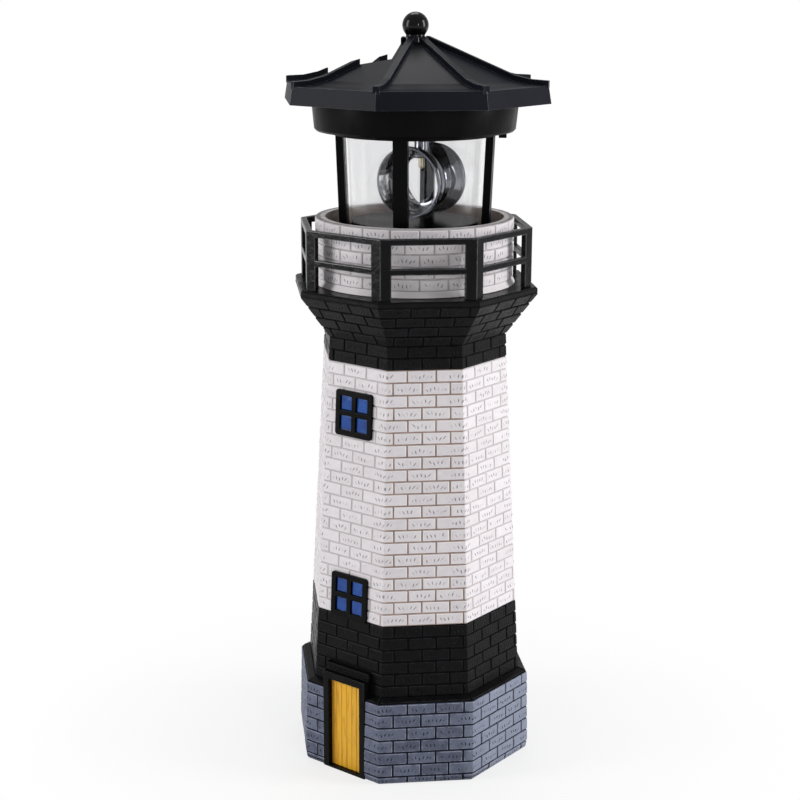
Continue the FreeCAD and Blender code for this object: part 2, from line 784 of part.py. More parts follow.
def roof_ribs():
    ribs = body_named("roof_ribs")
    rib = padded(ribs, "XZ_Plane", [
        ("0", f"{Z_PEAK} - rib_root"),
        ("peak_radius", f"{Z_PEAK} - rib_root"),
        ("sweep_radius", f"{Z_SWEEP} - rib_root"),
        ("brow_radius", f"{Z_BROW} - rib_root"),
        ("eave_top_radius", f"{Z_EAVE} - rib_root"),
        ("eave_top_radius", f"{Z_EAVE} + rib_rise"),
        ("brow_radius", f"{Z_BROW} + rib_rise"),
        ("sweep_radius", f"{Z_SWEEP} + rib_rise"),
        ("peak_radius", f"{Z_PEAK} + rib_rise"),
        ("0", f"{Z_PEAK} + rib_rise"),
    ], "rib_width")
    around(ribs, [rib], OCTAGON)
    return ribs


def roof_shell():
    """An eight-sided moulded roof with ridge ribs and a tray for the solar panel."""
    outer = octagon("roof_outer", [
        ("eave_radius", Z_FASCIA),
        ("eave_top_radius", Z_EAVE),
        ("brow_radius", Z_BROW),
        ("sweep_radius", Z_SWEEP),
        ("peak_radius", Z_PEAK),
    ])
    skin = f"(roof_skin / {SIDE})"
    inner = octagon("roof_inner", [
        (f"eave_radius - {skin}", f"{Z_FASCIA} - roof_skin"),
        (f"eave_top_radius - {skin}", f"{Z_EAVE} - roof_skin"),
        ("brow_radius", f"{Z_BROW} - roof_skin"),
        ("sweep_radius", f"{Z_SWEEP} - roof_skin"),
        ("peak_radius", f"{Z_PEAK} - roof_skin"),
    ])
    collar = body_named("roof_collar")
    collar_inner = "(housing_radius + rim_clearance)"
    turned(collar, rectangle(collar_inner, f"{collar_inner} + collar_wall",
                             f"{Z_RIM} - collar_lap", Z_PEAK))
    tray = body_named("panel_tray")
    low = "(board_thickness + glaze_thickness + tray_wall)"
    start = "(tray_start - tray_wall)"
    end = "(tray_end + tray_wall)"
    above = f"({Z_PEAK} + 2 * ball_radius)"
    padded(tray, "XZ_Plane", [
        (start, panel_line(start, low)),
        (end, panel_line(end, low)),
        (end, above),
        (start, above),
    ], "tray_width + 2 * tray_wall")
    pocket = body_named("panel_pocket")
    floor = "(board_thickness + glaze_thickness)"
    padded(pocket, "XZ_Plane", [
        ("tray_start", panel_line("tray_start", floor)),
        ("tray_end", panel_line("tray_end", floor)),
        ("tray_end", above),
        ("tray_start", above),
    ], "tray_width")
    fittings = [collar, tray]
    fittings.append(rod("apex_boss", "apex_boss_radius", "spindle_length + finial_sunk + roof_skin",
                        z=f"{Z_FINIAL} - spindle_length - roof_skin"))
    holes = [
        pocket,
        rod("finial_seat", "finial_collar_radius + play", "4 * finial_collar_height", z=Z_FINIAL),
        rod("spindle_hole", "spindle_radius", "2 * spindle_length",
            z=f"{Z_FINIAL} - spindle_length - play"),
    ]
    for number, (along, across) in enumerate(bolt_places()):
        fittings.append(rod(f"roof_boss_{number}", "column_radius", "cone_height",
                            along, across, Z_COLUMN))
        holes.append(rod(f"roof_boss_hole_{number}", "screw_radius", "screw_grip + screw_clearance",
                         along, across, Z_COLUMN))
    shell = cut("roof_skinned", fuse("roof_ribbed", outer, roof_ribs()), inner)
    kept = common("roof_fittings", fuse("roof_fittings_joined", *fittings), outer)
    roof = cut("roof_shell_cut", fuse("roof_fitted", shell, kept), *holes)
    piece(place(roof, turn=HEAD_TURN), "roof_shell")


def finial():
    """A ball on a short neck and collar, with a spindle that goes into the roof's peak."""
    stem = body_named("finial_stem")
    turned(stem, [
        ("0", f"{Z_FINIAL} - spindle_length"),
        ("spindle_radius", f"{Z_FINIAL} - spindle_length"),
        ("spindle_radius", Z_FINIAL),
        ("finial_collar_radius", Z_FINIAL),
        ("finial_collar_radius", f"{Z_FINIAL} + finial_collar_height"),
        ("ball_neck_radius", f"{Z_FINIAL} + finial_collar_height"),
        ("ball_neck_radius", f"{Z_FINIAL} + ball_rise"),
        ("0", f"{Z_FINIAL} + ball_rise"),
    ])
    ball = bind(doc.addObject("Part::Sphere", "finial_globe"), Radius="ball_radius")
    place(ball, z=f"{Z_FINIAL} + ball_rise")
    piece(place(fuse("finial_joined", stem, ball), turn=HEAD_TURN), "finial_ball")


def solar_panel():
    """A board with a clear glaze on top, lying in the roof's tray."""
    for name, low, high, inset in (
            ("solar_panel_board", "(board_thickness + glaze_thickness)", "glaze_thickness", "0"),
            ("solar_panel_glaze", "glaze_thickness", "0", "glaze_inset")):
        panel = body_named(f"{name}_body")
        start = f"(tray_start + panel_clearance + {inset})"
        end = f"(tray_end - panel_clearance - {inset})"
        padded(panel, "XZ_Plane", [
            (start, panel_line(start, low)),
            (end, panel_line(end, low)),
            (end, panel_line(end, high)),
            (start, panel_line(start, high)),
        ], f"tray_width - 2 * panel_clearance - 2 * {inset}")
        piece(place(panel, turn=HEAD_TURN), name)


# ---------------------------------------------------------------- turning reflector and gears

def beacon_reflector():
    """Two rounded bowls back to back round an open waist, hung from a hollow shaft."""
    half = "(bowl_length / 2)"
    rise = "(bowl_radius - waist_radius)"
    bowls = body_named("beacon_bowls")
    # Each bowl's side is a quarter ellipse from the waist out to the rim
    outside = [(f"{half} * (1 - cos({angle}))", f"waist_radius + {rise} * sin({angle})")
               for angle in BOWL_ANGLES]
    inside = [(f"bowl_wall * cos({angle}) + {half} * (1 - cos({angle}))",
               f"waist_radius + ({rise} - bowl_wall) * sin({angle})") for angle in BOWL_ANGLES]
    throat = "waist_radius - bowl_wall"
    mirrored = [(f"0 - ({along})", radius) for along, radius in outside]
    turned(bowls, [
        *mirrored[::-1],
        ("0", "waist_radius"),
        *outside,
        *inside[::-1],
        ("bowl_wall", "waist_radius"),
        ("bowl_wall", throat),
        ("0 - bowl_wall", throat),
        ("0 - bowl_wall", "waist_radius"),
        *[(f"0 - ({along})", radius) for along, radius in inside],
    ], axis="H_Axis")
    place(bowls, BEACON_ALONG, BEACON_ACROSS, Z_BEACON, "beacon_bearing")
    foot = f"({Z_BEACON} + waist_radius - bowl_wall)"
    shaft = rod("beacon_shaft", "beacon_shaft_radius", f"{Z_GEAR} + gear_face - {foot}",
                BEACON_ALONG, BEACON_ACROSS, foot)
    bore = rod("beacon_shaft_bore", "beacon_bore", f"{Z_SECOND} - {Z_BEACON}",
               BEACON_ALONG, BEACON_ACROSS, Z_BEACON)
    reflector = cut("beacon_reflector_cut", fuse("beacon_joined", bowls, shaft), bore)
    piece(place(reflector, turn=HEAD_TURN), "beacon_reflector")


def gear_solid(teeth, turn, height, bore):
    """A spur gear on the origin with involute flanks; one tooth points at the turn, in degrees.

    The flanks run from the base circle out to a tip kept short for small tooth counts.
    """
    module = SIZES["gear_module"]
    pitch = module * teeth / 2
    base = pitch * math.cos(math.radians(PRESSURE_ANGLE))
    tip = pitch + 0.8 * module
    root = pitch - 1.15 * module
    backlash = 0.2 * module

    def half_angle(radius):
        """Half a tooth's angle at a radius on the flank."""
        def involute(angle):
            return math.tan(angle) - angle
        lean = math.acos(min(1, base / radius))
        at_pitch = (math.pi * module / 2 - backlash) / (2 * pitch)
        return at_pitch + involute(math.radians(PRESSURE_ANGLE)) - involute(lean)

    start = max(base, root)
    flank = [start + (tip - start) * step / 3 for step in range(4)]
    if root < base:
        flank.insert(0, root)
    corners = []
    for tooth in range(teeth):
        middle = math.radians(turn) + 2 * math.pi * tooth / teeth
        for side, radii in ((-1, flank), (1, flank[::-1])):
            for radius in radii:
                angle = middle + side * half_angle(max(radius, base))
                corners.append(FreeCAD.Vector(radius * math.cos(angle), radius * math.sin(angle)))
    blank = Part.Face(Part.makePolygon(corners + corners[:1]))
    gear = blank.extrude(FreeCAD.Vector(0, 0, height))
    return gear.cut(Part.makeCylinder(bore, height)) if bore else gear


def meshing_turn(driver_turn, driver_teeth, bearing, driven_teeth):
    """Where a tooth of the driven gear points so that a gap meets the driver's tooth."""
    ahead = driver_turn - bearing
    return bearing + 180 - ahead * driver_teeth / driven_teeth + 180 / driven_teeth


def gear_feature(label, shape, along, across, height):
    """Places a gear made about its own axis in the lamp unit."""
    feature = doc.addObject("Part::Feature", f"{label}_feature")
    feature.Shape = shape
    piece(in_head(feature, along, across, height), label)


def gear_train():
    """A pinion drives the large wheel of the idler; its small wheel drives the beacon's gear."""
    beacon_turn = SIZES["idler_bearing"]
    small_turn = meshing_turn(beacon_turn, BEACON_TEETH, SIZES["idler_bearing"], PINION_TEETH)
    large_turn = small_turn
    pinion_turn = meshing_turn(large_turn, IDLER_TEETH, SIZES["pinion_bearing"], PINION_TEETH)

    wheel = gear_solid(BEACON_TEETH, beacon_turn, SIZES["gear_face"], SIZES["beacon_shaft_radius"])
    gear_feature("output_gear", wheel, BEACON_ALONG, BEACON_ACROSS, Z_GEAR)

    bore = SIZES["axle_radius"] + SIZES["shaft_clearance"]
    rise = SIZES["gear_face"] + SIZES["gear_gap"]
    small = gear_solid(PINION_TEETH, small_turn, rise, bore)
    large = gear_solid(IDLER_TEETH, large_turn, SIZES["idler_face"], bore)
    large.translate(FreeCAD.Vector(0, 0, rise))
    gear_feature("idler_gear", small.fuse(large), IDLER_ALONG, IDLER_ACROSS, Z_GEAR)

    drive = gear_solid(PINION_TEETH, pinion_turn, SIZES["idler_face"], 0)
    length = value(f"{Z_PLATE_TOP} - {Z_SECOND}") + SIZES["motor_shaft_length"]
    shaft = Part.makeCylinder(SIZES["axle_radius"], length)
    gear_feature("motor_pinion", drive.fuse(shaft), PINION_ALONG, PINION_ACROSS, Z_SECOND)


def gear_plate():
    plate = body_named("gear_plate_blank")
    half_length = "plate_length / 2"
    half_width = "plate_width / 2"
    blank = padded(plate, "XY_Plane", rectangle(
        f"plate_along - {half_length}", f"plate_along + {half_length}",
        f"plate_across - {half_width}", f"plate_across + {half_width}"),
        "plate_thickness", symmetric=False)
    rounded(plate, blank, "plate_round", upright)
    place(plate, z=Z_PLATE)
    below = f"{Z_PLATE} - play"
    through = "plate_thickness + 2 * play"
    holes = [
        rod("stalk_hole", "stalk_radius", through, BEACON_ALONG, BEACON_ACROSS, below),
        rod("axle_hole", "axle_radius", through, IDLER_ALONG, IDLER_ACROSS, below),
        rod("motor_boss_hole", "motor_boss_radius", through, PINION_ALONG, PINION_ACROSS, below),
    ]
    for number, (along, across) in enumerate(plate_corners()):
        holes.append(rod(f"plate_hole_{number}", "screw_radius", through, along, across, below))
    piece(place(cut("gear_plate_cut", plate, *holes), turn=HEAD_TURN), "gear_plate")


def idler_axle():
    foot = f"({Z_FLOOR} - housing_wall / 2)"
    pin = rod("idler_axle_pin", "axle_radius", f"{Z_PLATE_TOP} - {foot}")
    piece(in_head(pin, IDLER_ALONG, IDLER_ACROSS, foot), "idler_axle")


def motor():
    can = body_named("motor_can")
    turned(can, [
        ("axle_radius + shaft_clearance", f"{Z_PLATE}"),
        ("motor_boss_radius", f"{Z_PLATE}"),
        ("motor_boss_radius", Z_PLATE_TOP),
        ("motor_radius", Z_PLATE_TOP),
        ("motor_radius", f"{Z_PLATE_TOP} + motor_length - motor_round"),
        ("motor_radius - motor_round", f"{Z_PLATE_TOP} + motor_length"),
        ("0", f"{Z_PLATE_TOP} + motor_length"),
        ("0", f"{Z_PLATE_TOP} + motor_shaft_length + play"),
        ("axle_radius + shaft_clearance", f"{Z_PLATE_TOP} + motor_shaft_length + play"),
    ])
    piece(in_head(can, PINION_ALONG, PINION_ACROSS), "motor")


def light_source():
    """A small lamp hung in the reflector's waist from a stalk through the hollow shaft."""
    lamp_top = f"({Z_BEACON} + led_rise)"
    stalk = fuse(
        "led_stalk_joined",
        rod("stalk_rod", "stalk_radius", f"{Z_PLATE_TOP} - {lamp_top}",
            BEACON_ALONG, BEACON_ACROSS, lamp_top),
        rod("stalk_head", "stalk_flange_radius", "stalk_flange_height",
            BEACON_ALONG, BEACON_ACROSS, Z_PLATE_TOP))
    piece(place(stalk, turn=HEAD_TURN), "led_stalk")
    dome = bind(doc.addObject("Part::Sphere", "led_dome"), Radius="led_radius")
    place(dome, BEACON_ALONG, BEACON_ACROSS, f"{lamp_top} - led_length + led_radius")
    lamp = fuse(
        "led_lamp_joined",
        dome,
        rod("led_barrel", "led_radius", "led_length - led_radius",
            BEACON_ALONG, BEACON_ACROSS, f"{lamp_top} - led_length + led_radius"),
        rod("led_foot", "led_radius + led_flange", "led_flange",
            BEACON_ALONG, BEACON_ACROSS, f"{lamp_top} - led_flange"))
    piece(place(lamp, turn=HEAD_TURN), "led_lamp")


# ---------------------------------------------------------------- electrics

def cell_and_holder():
    """A round cell in an open tray, between a flat contact and a bent spring contact."""
    half_cell = "(cell_length + cell_nub_length) / 2"
    cell = body_named("cell_body")
    turned(cell, [
        (f"0 - {half_cell}", "0"),
        (f"0 - {half_cell}", "cell_radius"),
        (f"{half_cell} - cell_nub_length", "cell_radius"),
        (f"{half_cell} - cell_nub_length", "cell_nub_radius"),
        (half_cell, "cell_nub_radius"),
        (half_cell, "0"),
    ], "YZ_Plane", "H_Axis")
    piece(in_head(cell, "cell_along", "0", Z_CELL), "battery")

    inside_length = "(cell_length + cell_nub_length + contact_thickness + spring_depth)"
    inside_middle = "((contact_thickness - spring_depth) / 2)"
    inside_width = "(2 * cell_radius + 2 * holder_clearance)"
    outside = box("holder_outside", f"{inside_width} + 2 * holder_wall",
                  f"{inside_length} + 2 * holder_wall", "holder_rise", "cell_along",
                  inside_middle, Z_FLOOR)
    inside = box("holder_inside", inside_width, inside_length, "holder_rise", "cell_along",
                 inside_middle, f"{Z_FLOOR} + holder_wall")
    piece(place(cut("battery_holder_cut", outside, inside), turn=HEAD_TURN), "battery_holder")

    contact = box("battery_contact_blank", "contact_width", "contact_thickness",
                  "holder_rise - holder_wall")
    in_head(contact, "cell_along - contact_width / 2", half_cell, f"{Z_FLOOR} + holder_wall")
    piece(contact, "battery_contact")

    spring = body_named("battery_spring_body")
    back = f"(0 - {half_cell} - spring_depth)"
    foot = f"({Z_FLOOR} + holder_wall)"
    tip = f"({Z_FLOOR} + holder_rise)"
    bend = f"({foot} + holder_rise / 3)"
    padded(spring, "YZ_Plane", [
        (back, foot),
        (f"{back} + contact_thickness", foot),
        (f"{back} + contact_thickness", bend),
        (f"{back} + spring_depth", f"{Z_CELL} - contact_thickness"),
        (f"{back} + spring_depth", f"{Z_CELL} + contact_thickness"),
        (f"{back} + spring_depth - contact_thickness", f"{Z_CELL} + contact_thickness"),
        (f"{back} + spring_depth - contact_thickness", f"{Z_CELL} - contact_thickness / 2"),
        (f"{back} + contact_thickness", f"{bend} + 3 * contact_thickness"),
        (f"{back} + contact_thickness", tip),
        (back, tip),
    ], "contact_width")
    piece(in_head(spring, "cell_along"), "battery_spring")


def circuit():
    """A board on two posts, with a controller chip and a storage capacitor."""
    top = f"{Z_CIRCUIT} + circuit_thickness"
    board = box("circuit_board_blank", "circuit_length", "circuit_width", "circuit_thickness")
    piece(in_head(board, "circuit_along - circuit_length / 2",
                  "circuit_across - circuit_width / 2", Z_CIRCUIT), "circuit_board")
    chip = box("charge_controller_blank", "chip_length", "chip_width", "chip_height")
    piece(in_head(chip, "circuit_along + circuit_length / 4 - chip_length / 2",
                  "circuit_across - chip_width / 2", top), "charge_controller")
    can = rod("storage_capacitor_can", "capacitor_radius", "capacitor_height")
    piece(in_head(can, "circuit_along - circuit_length / 4", "circuit_across", top),
          "storage_capacitor")


def switch():
    """A slide switch: the knob hangs through a slot in the housing's floor."""
    half_width = "(switch_body_width / 2)"
    case = body_named("switch_case")
    middle = "(knob_travel / 2)"
    padded(case, "XY_Plane", rectangle(
        f"switch_circle - {half_width}", f"switch_circle + {half_width}",
        f"{middle} - switch_body_length / 2", f"{middle} + switch_body_length / 2"),
        "switch_body_height", symmetric=False)
    place(case, z=Z_FLOOR, turn="switch_bearing")
    stem = "(knob_width / 2 + knob_flange)"
    reach = "(knob_length / 2 + knob_flange + knob_clearance)"
    chamber = body_named("switch_chamber")
    padded(chamber, "XY_Plane", rectangle(
        f"switch_circle - {stem} - knob_clearance", f"switch_circle + {stem} + knob_clearance",
        f"0 - {reach}", f"{reach} + knob_travel"),
        "2 * (knob_flange_height + 2 * knob_clearance)")
    place(chamber, z=Z_FLOOR, turn="switch_bearing")
    piece(place(cut("switch_body_cut", case, chamber), turn=HEAD_TURN), "switch_body")

    knob = fuse(
        "switch_knob_joined",
        box("knob_tab", "knob_width", "knob_length",
            "knob_drop + housing_wall + knob_clearance", "switch_circle",
            "0", f"{Z_HEAD} - knob_drop"),
        box("knob_collar", "knob_width + 2 * knob_flange", "knob_length + 2 * knob_flange",
            "knob_flange_height", "switch_circle", "0", f"{Z_FLOOR} + knob_clearance / 2"))
    piece(place(knob, turn=f"switch_bearing + {HEAD_TURN}"), "switch_knob")


# ---------------------------------------------------------------- screws

def screw(label, along, across, under_head, grip, upward):
    """A plain screw form; under_head is the height where its head bears."""
    if upward:
        head_low = f"({under_head} - screw_head_height)"
        shank_low = under_head
    else:
        head_low = under_head
        shank_low = f"({under_head} - ({grip}))"
    solid = fuse(
        f"{label}_joined",
        rod(f"{label}_head", "screw_head_radius", "screw_head_height", along, across, head_low),
        rod(f"{label}_shank", "screw_radius", grip, along, across, shank_low))
    piece(place(solid, turn=HEAD_TURN), label)


def screws():
    for number in range(POSTS):
        along, across = post_place(number, FOOT_SCREW_CIRCLE)
        bearing = f"({Z_SEAT} + screw_head_height + screw_clearance)"
        screw(f"base_screw_{number + 1}", along, across, bearing,
              f"{Z_FLANGE} + screw_grip - {bearing}", upward=True)
        along, across = post_place(number, TOP_SCREW_CIRCLE)
        screw(f"cage_screw_{number + 1}", along, across, Z_FLOOR,
              "screw_grip + housing_wall", upward=False)
    for number, (along, across) in enumerate(bolt_places(), start=1):
        bearing = f"({Z_HEAD} + screw_head_height + screw_clearance)"
        screw(f"roof_screw_{number}", along, across, bearing,
              f"{Z_COLUMN} + screw_grip - {bearing}", upward=True)
    for number, (along, across) in enumerate(plate_corners(), start=1):
        screw(f"plate_screw_{number}", along, across, Z_PLATE_TOP,
              f"{Z_PLATE_TOP} - {Z_FLOOR} - 2 * play", upward=False)


# ---------------------------------------------------------------- whole light

def build():
    form = casting_form()
    tower_casting(form)
    gallery_railing()
    window("lower_window", "lower_window_offset", Z_LOWER_WINDOW)
    window("upper_window", "upper_window_offset", Z_UPPER_WINDOW)
    door(form)
    lantern_base()
    lantern_cage()
    clear_tube()
    head_housing()
    roof_shell()
    finial()
    solar_panel()
    beacon_reflector()
    gear_train()
    gear_plate()
    idler_axle()
    motor()
    light_source()
    cell_and_holder()
    circuit()
    switch()
    screws()
    doc.recompute()


def check():
    """Stops on any failed object and on any sub-part that is not whole."""
    for item in doc.Objects:
        if {"Invalid", "Error"} & set(item.State):
            raise RuntimeError(f"{item.Name} failed: {item.State}")
    for item in pieces:
        shape = item.Shape
        if shape.isNull() or not shape.isValid() or len(shape.Solids) != 1:
            raise RuntimeError(f"{item.Label} is not one valid solid: {len(shape.Solids)}")


def export():
    os.makedirs("parts", exist_ok=True)
    for item in pieces:
        item.Shape.exportStep(f"parts/{item.Label}.step")


build()
check()
export()
print("sub-parts ok:", len(pieces))
for label, along, across in (("beacon", BEACON_ALONG, BEACON_ACROSS),
                             ("idler", IDLER_ALONG, IDLER_ACROSS),
                             ("pinion", PINION_ALONG, PINION_ACROSS)):
    turn = math.radians(float(HEAD_TURN))
    reach = (value(along), value(across))
    print(label, "axis at", round(reach[0] * math.cos(turn) - reach[1] * math.sin(turn), 4),
          round(reach[0] * math.sin(turn) + reach[1] * math.cos(turn), 4))
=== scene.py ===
"""The garden lighthouse dressed for its picture: brick courses, soft moulded edges, chrome and clear acrylic.

Lengths are written in millimetres and turned to metres as each piece is finished. +Z is up, the door
faces -Y, and the picture is taken from the door's right.
"""
import math
import random

import bmesh
import bpy
from mathutils import Matrix, Vector
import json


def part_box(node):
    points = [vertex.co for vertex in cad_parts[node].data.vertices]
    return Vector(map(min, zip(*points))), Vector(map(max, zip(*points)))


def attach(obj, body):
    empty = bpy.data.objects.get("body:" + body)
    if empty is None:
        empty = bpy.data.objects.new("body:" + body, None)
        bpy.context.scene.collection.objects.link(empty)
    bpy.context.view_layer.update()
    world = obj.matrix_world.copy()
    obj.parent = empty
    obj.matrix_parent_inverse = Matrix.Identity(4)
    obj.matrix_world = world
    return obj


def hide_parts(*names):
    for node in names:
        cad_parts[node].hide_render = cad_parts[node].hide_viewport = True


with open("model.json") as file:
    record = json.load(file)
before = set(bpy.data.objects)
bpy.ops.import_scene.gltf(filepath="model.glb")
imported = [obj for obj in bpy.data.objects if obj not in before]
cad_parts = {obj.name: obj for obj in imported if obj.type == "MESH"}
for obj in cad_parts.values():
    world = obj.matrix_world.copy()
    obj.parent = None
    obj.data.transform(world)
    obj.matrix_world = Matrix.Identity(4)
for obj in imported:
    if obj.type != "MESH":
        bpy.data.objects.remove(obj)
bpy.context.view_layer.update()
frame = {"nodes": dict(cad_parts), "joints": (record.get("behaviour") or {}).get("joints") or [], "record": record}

MM = 0.001
SIDES = 8
SIDE_TURN = math.tau / SIDES
FLAT = math.cos(SIDE_TURN / 2)
HALF_SIDE = math.sin(SIDE_TURN / 2)
# The sides are counted from the one that faces +X, and the door's faces -Y
DOOR_SIDE = 3 * SIDES // 4
INTO_DOOR = Vector((0, 1, 0))

# The head, and the solar tray in its roof, are turned by this much
TRAY_TURN = math.radians(22.5)

# Corner radii and heights of the tower's stages, as in the casting
BASE_FOOT, BASE_EDGE, BASE_TOP, LEDGE, BAND, SHAFT, NECK, DECK = 58.5, 59.5, 58.6, 53.9, 51.9, 45.2, 44.6, 60
Z_BASE, Z_LEDGE, Z_BAND, Z_SHAFT, Z_NECK, Z_FLARE, Z_DECK = 41, 42.5, 78.1, 200.7, 212, 232.5, 235
DRUM, DRUM_BORE, Z_DRUM_FOOT, Z_DRUM = 46.5, 42.2, 238, 266

# Bricks: the pointing's width, how far they stand out of it, their slanting sides and the arris round them
JOINT, BRICK_RISE, BRICK_SLANT, ARRIS = 0.72, 0.36, 0.14, 0.26
# How much joints stray from their places and bricks differ in height
JOINT_PLAY, RISE_PLAY = 0.18, 0.08
# The brick skins stand this far off the casting and reach this far into it
SKIN_LIFT, SKIN_DEPTH, DRUM_SKIN_DEPTH = 0.05, 4.4, 2
# Openings in a skin: how deep they are sunk, how thin their sides are, and how near to them a joint may come
OPENING_DEPTH, WALL_SLIVER, LEAST_BRICK = 3.4, 0.04, 1.6
# No joint comes nearer than this to a corner of the tower
CORNER_CLEAR = 0.8
# A course belongs to an opening when it ends at most this far outside it
ROW_SLACK = 0.1
# Joints across a side, in odd and even courses, seen from outside with the middle at 0
SHAFT_JOINTS = ((-21.5, -8.1, 5.3, 18.6), (-14.6, -1.3, 12.0))
BASE_JOINTS = ((-22.4, -9.0, 4.6, 18.2), (-15.7, -2.3, 11.2))
BASE_COURSES = (0, 3.8, 10.05, 16.2, 22.5, 28.9, 35.4, 41)

# Chisel strokes stand this far apart on a brick
STROKE_PITCH = 1.85
# The casting's paint reaches this far past the edges of its deck and of its bore
PAINT_LAP = 0.25


# ---------------------------------------------------------------- materials

# The kind of node that does arithmetic
MATH = "ShaderNodeMath"


def ink(code):
    """An sRGB hex colour as linear red, green, blue and alpha."""
    parts = [int(code[start:start + 2], 16) / 255 for start in (0, 2, 4)]
    return (*[part / 12.92 if part <= 0.04045 else ((part + 0.055) / 1.055) ** 2.4 for part in parts], 1)


def wire(tree, target, inputs):
    """Sets or links a node's inputs. A node that is given stands for its first output in use."""
    for socket, given in inputs.items():
        if isinstance(given, bpy.types.Node):
            given = next(output for output in given.outputs if output.enabled)
        if isinstance(given, bpy.types.NodeSocket):
            tree.links.new(given, target.inputs[socket])
        else:
            target.inputs[socket].default_value = given


def node(tree, kind, inputs=None, **settings):
    """Adds a node: settings are its own properties, inputs are its values or links."""
    added = tree.nodes.new(kind)
    for name, setting in settings.items():
        setattr(added, name, setting)
    wire(tree, added, inputs or {})
    return added


def blank(name, shader_values):
    """Starts a finish; returns it with its node tree, its shader and its pieces' coordinates in metres."""
    made = bpy.data.materials.new(name)
    made.use_nodes = True
    tree = made.node_tree
    shader = tree.nodes["Principled BSDF"]
    wire(tree, shader, {socket.replace("_", " "): given for socket, given in shader_values.items()})
    return made, tree, shader, node(tree, "ShaderNodeTexCoord").outputs["Object"]


def material(name, color, roughness, grain=0.0, grain_size=0.4, mottle="", mottle_size=6.0, wear=0.25,
             **shader_values):
    """A finish: a base colour mottled towards a second one, a gloss that wear makes uneven, and a fine grain.

    grain is the height of the grain in millimetres and grain_size its spacing.
    """
    made, tree, shader, place = blank(name, shader_values)
    blotch = node(tree, "ShaderNodeTexNoise", {"Vector": place, "Scale": 1 / (mottle_size * MM),
                                               "Detail": 5.0})
    tint, gloss = ink(color), roughness
    if mottle:
        amount = node(tree, "ShaderNodeMapRange", {"Value": blotch, "From Min": 0.35, "From Max": 0.7})
        tint = node(tree, "ShaderNodeMix", {"Factor": amount, "A": tint, "B": ink(mottle)}, data_type="RGBA")
    if roughness:
        gloss = node(tree, "ShaderNodeMapRange", {"Value": blotch, "From Min": 0.3, "From Max": 0.7,
                                                  "To Min": roughness * (1 - wear),
                                                  "To Max": min(1.0, roughness * (1 + wear))})
    wire(tree, shader, {"Base Color": tint, "Roughness": gloss})
    if grain:
        grit = node(tree, "ShaderNodeTexNoise", {"Vector": place, "Scale": 1 / (grain_size * MM),
                                                 "Detail": 3.0})
        bump = node(tree, "ShaderNodeBump", {"Height": grit, "Distance": grain * MM, "Strength": 1.0})
        wire(tree, shader, {"Normal": bump})
    return made


def repainted(made):
    """A mottled finish's node tree and shader, and the colour that reaches the shader, to build on."""
    shader = made.node_tree.nodes["Principled BSDF"]
    return made.node_tree, shader, shader.inputs["Base Color"].links[0].from_socket


def chisel_strokes(tree):
    """Where five slanting chisel strokes lie on each brick.

    The brick chart is in millimetres from each brick's middle. The strokes are about 1.5 mm long, leaning
    outwards to both sides, and some are fainter; reach keeps them off the ends of short bricks.
    """
    tone = node(tree, "ShaderNodeAttribute", attribute_name="tone").outputs["Fac"]
    reach = node(tree, "ShaderNodeAttribute", attribute_name="reach").outputs["Fac"]
    place = node(tree, "ShaderNodeTexCoord")
    chart = node(tree, "ShaderNodeSeparateXYZ", {0: place.outputs["UV"]})
    across = node(tree, MATH, {0: tone, 1: 1.2, 2: chart.outputs["X"]}, operation="MULTIPLY_ADD")
    pitches = node(tree, MATH, {0: across, 1: STROKE_PITCH}, operation="DIVIDE")
    number = node(tree, MATH, {0: pitches}, operation="ROUND")
    beside = node(tree, MATH, {0: number, 1: -STROKE_PITCH, 2: across}, operation="MULTIPLY_ADD")
    draw = node(tree, "ShaderNodeCombineXYZ", {0: number, 1: tone})
    chance = node(tree, "ShaderNodeTexWhiteNoise", {"Vector": draw}, noise_dimensions="3D")
    dice = node(tree, "ShaderNodeSeparateColor", {0: chance.outputs["Color"]})
    tilt = node(tree, MATH, {0: dice.outputs[0], 1: 0.8, 2: -0.4}, operation="MULTIPLY_ADD")
    lean = node(tree, MATH, {0: number, 1: 0.3, 2: tilt}, operation="MULTIPLY_ADD")
    lift = node(tree, MATH, {0: dice.outputs[1], 1: 0.4}, operation="SUBTRACT")
    up = node(tree, MATH, {0: chart.outputs["Y"], 1: lift}, operation="ADD")
    drift = node(tree, MATH, {0: lean, 1: up}, operation="MULTIPLY")
    off = node(tree, MATH, {0: node(tree, MATH, {0: beside, 1: drift}, operation="SUBTRACT")},
               operation="ABSOLUTE")
    thin = node(tree, "ShaderNodeMapRange", {"Value": off, "From Min": 0.12, "From Max": 0.38,
                                             "To Min": 1.0, "To Max": 0.0})
    length = node(tree, MATH, {0: up}, operation="ABSOLUTE")
    short = node(tree, "ShaderNodeMapRange", {"Value": length, "From Min": 0.45, "From Max": 0.95,
                                              "To Min": 1.0, "To Max": 0.0})
    far = node(tree, MATH, {0: chart.outputs["X"]}, operation="ABSOLUTE")
    end = node(tree, MATH, {0: reach, 1: 1.3}, operation="SUBTRACT")
    limit = node(tree, MATH, {0: end, 1: 4.6}, operation="MINIMUM")
    near = node(tree, MATH, {0: far, 1: limit}, operation="LESS_THAN")
    drawn = node(tree, "ShaderNodeMapRange", {"Value": dice.outputs[2], "From Min": 0.05, "From Max": 0.5,
                                              "To Min": 0.15, "To Max": 1.0})
    shape = node(tree, MATH, {0: thin, 1: short}, operation="MULTIPLY")
    strength = node(tree, MATH, {0: near, 1: drawn}, operation="MULTIPLY")
    return node(tree, MATH, {0: shape, 1: strength}, operation="MULTIPLY")


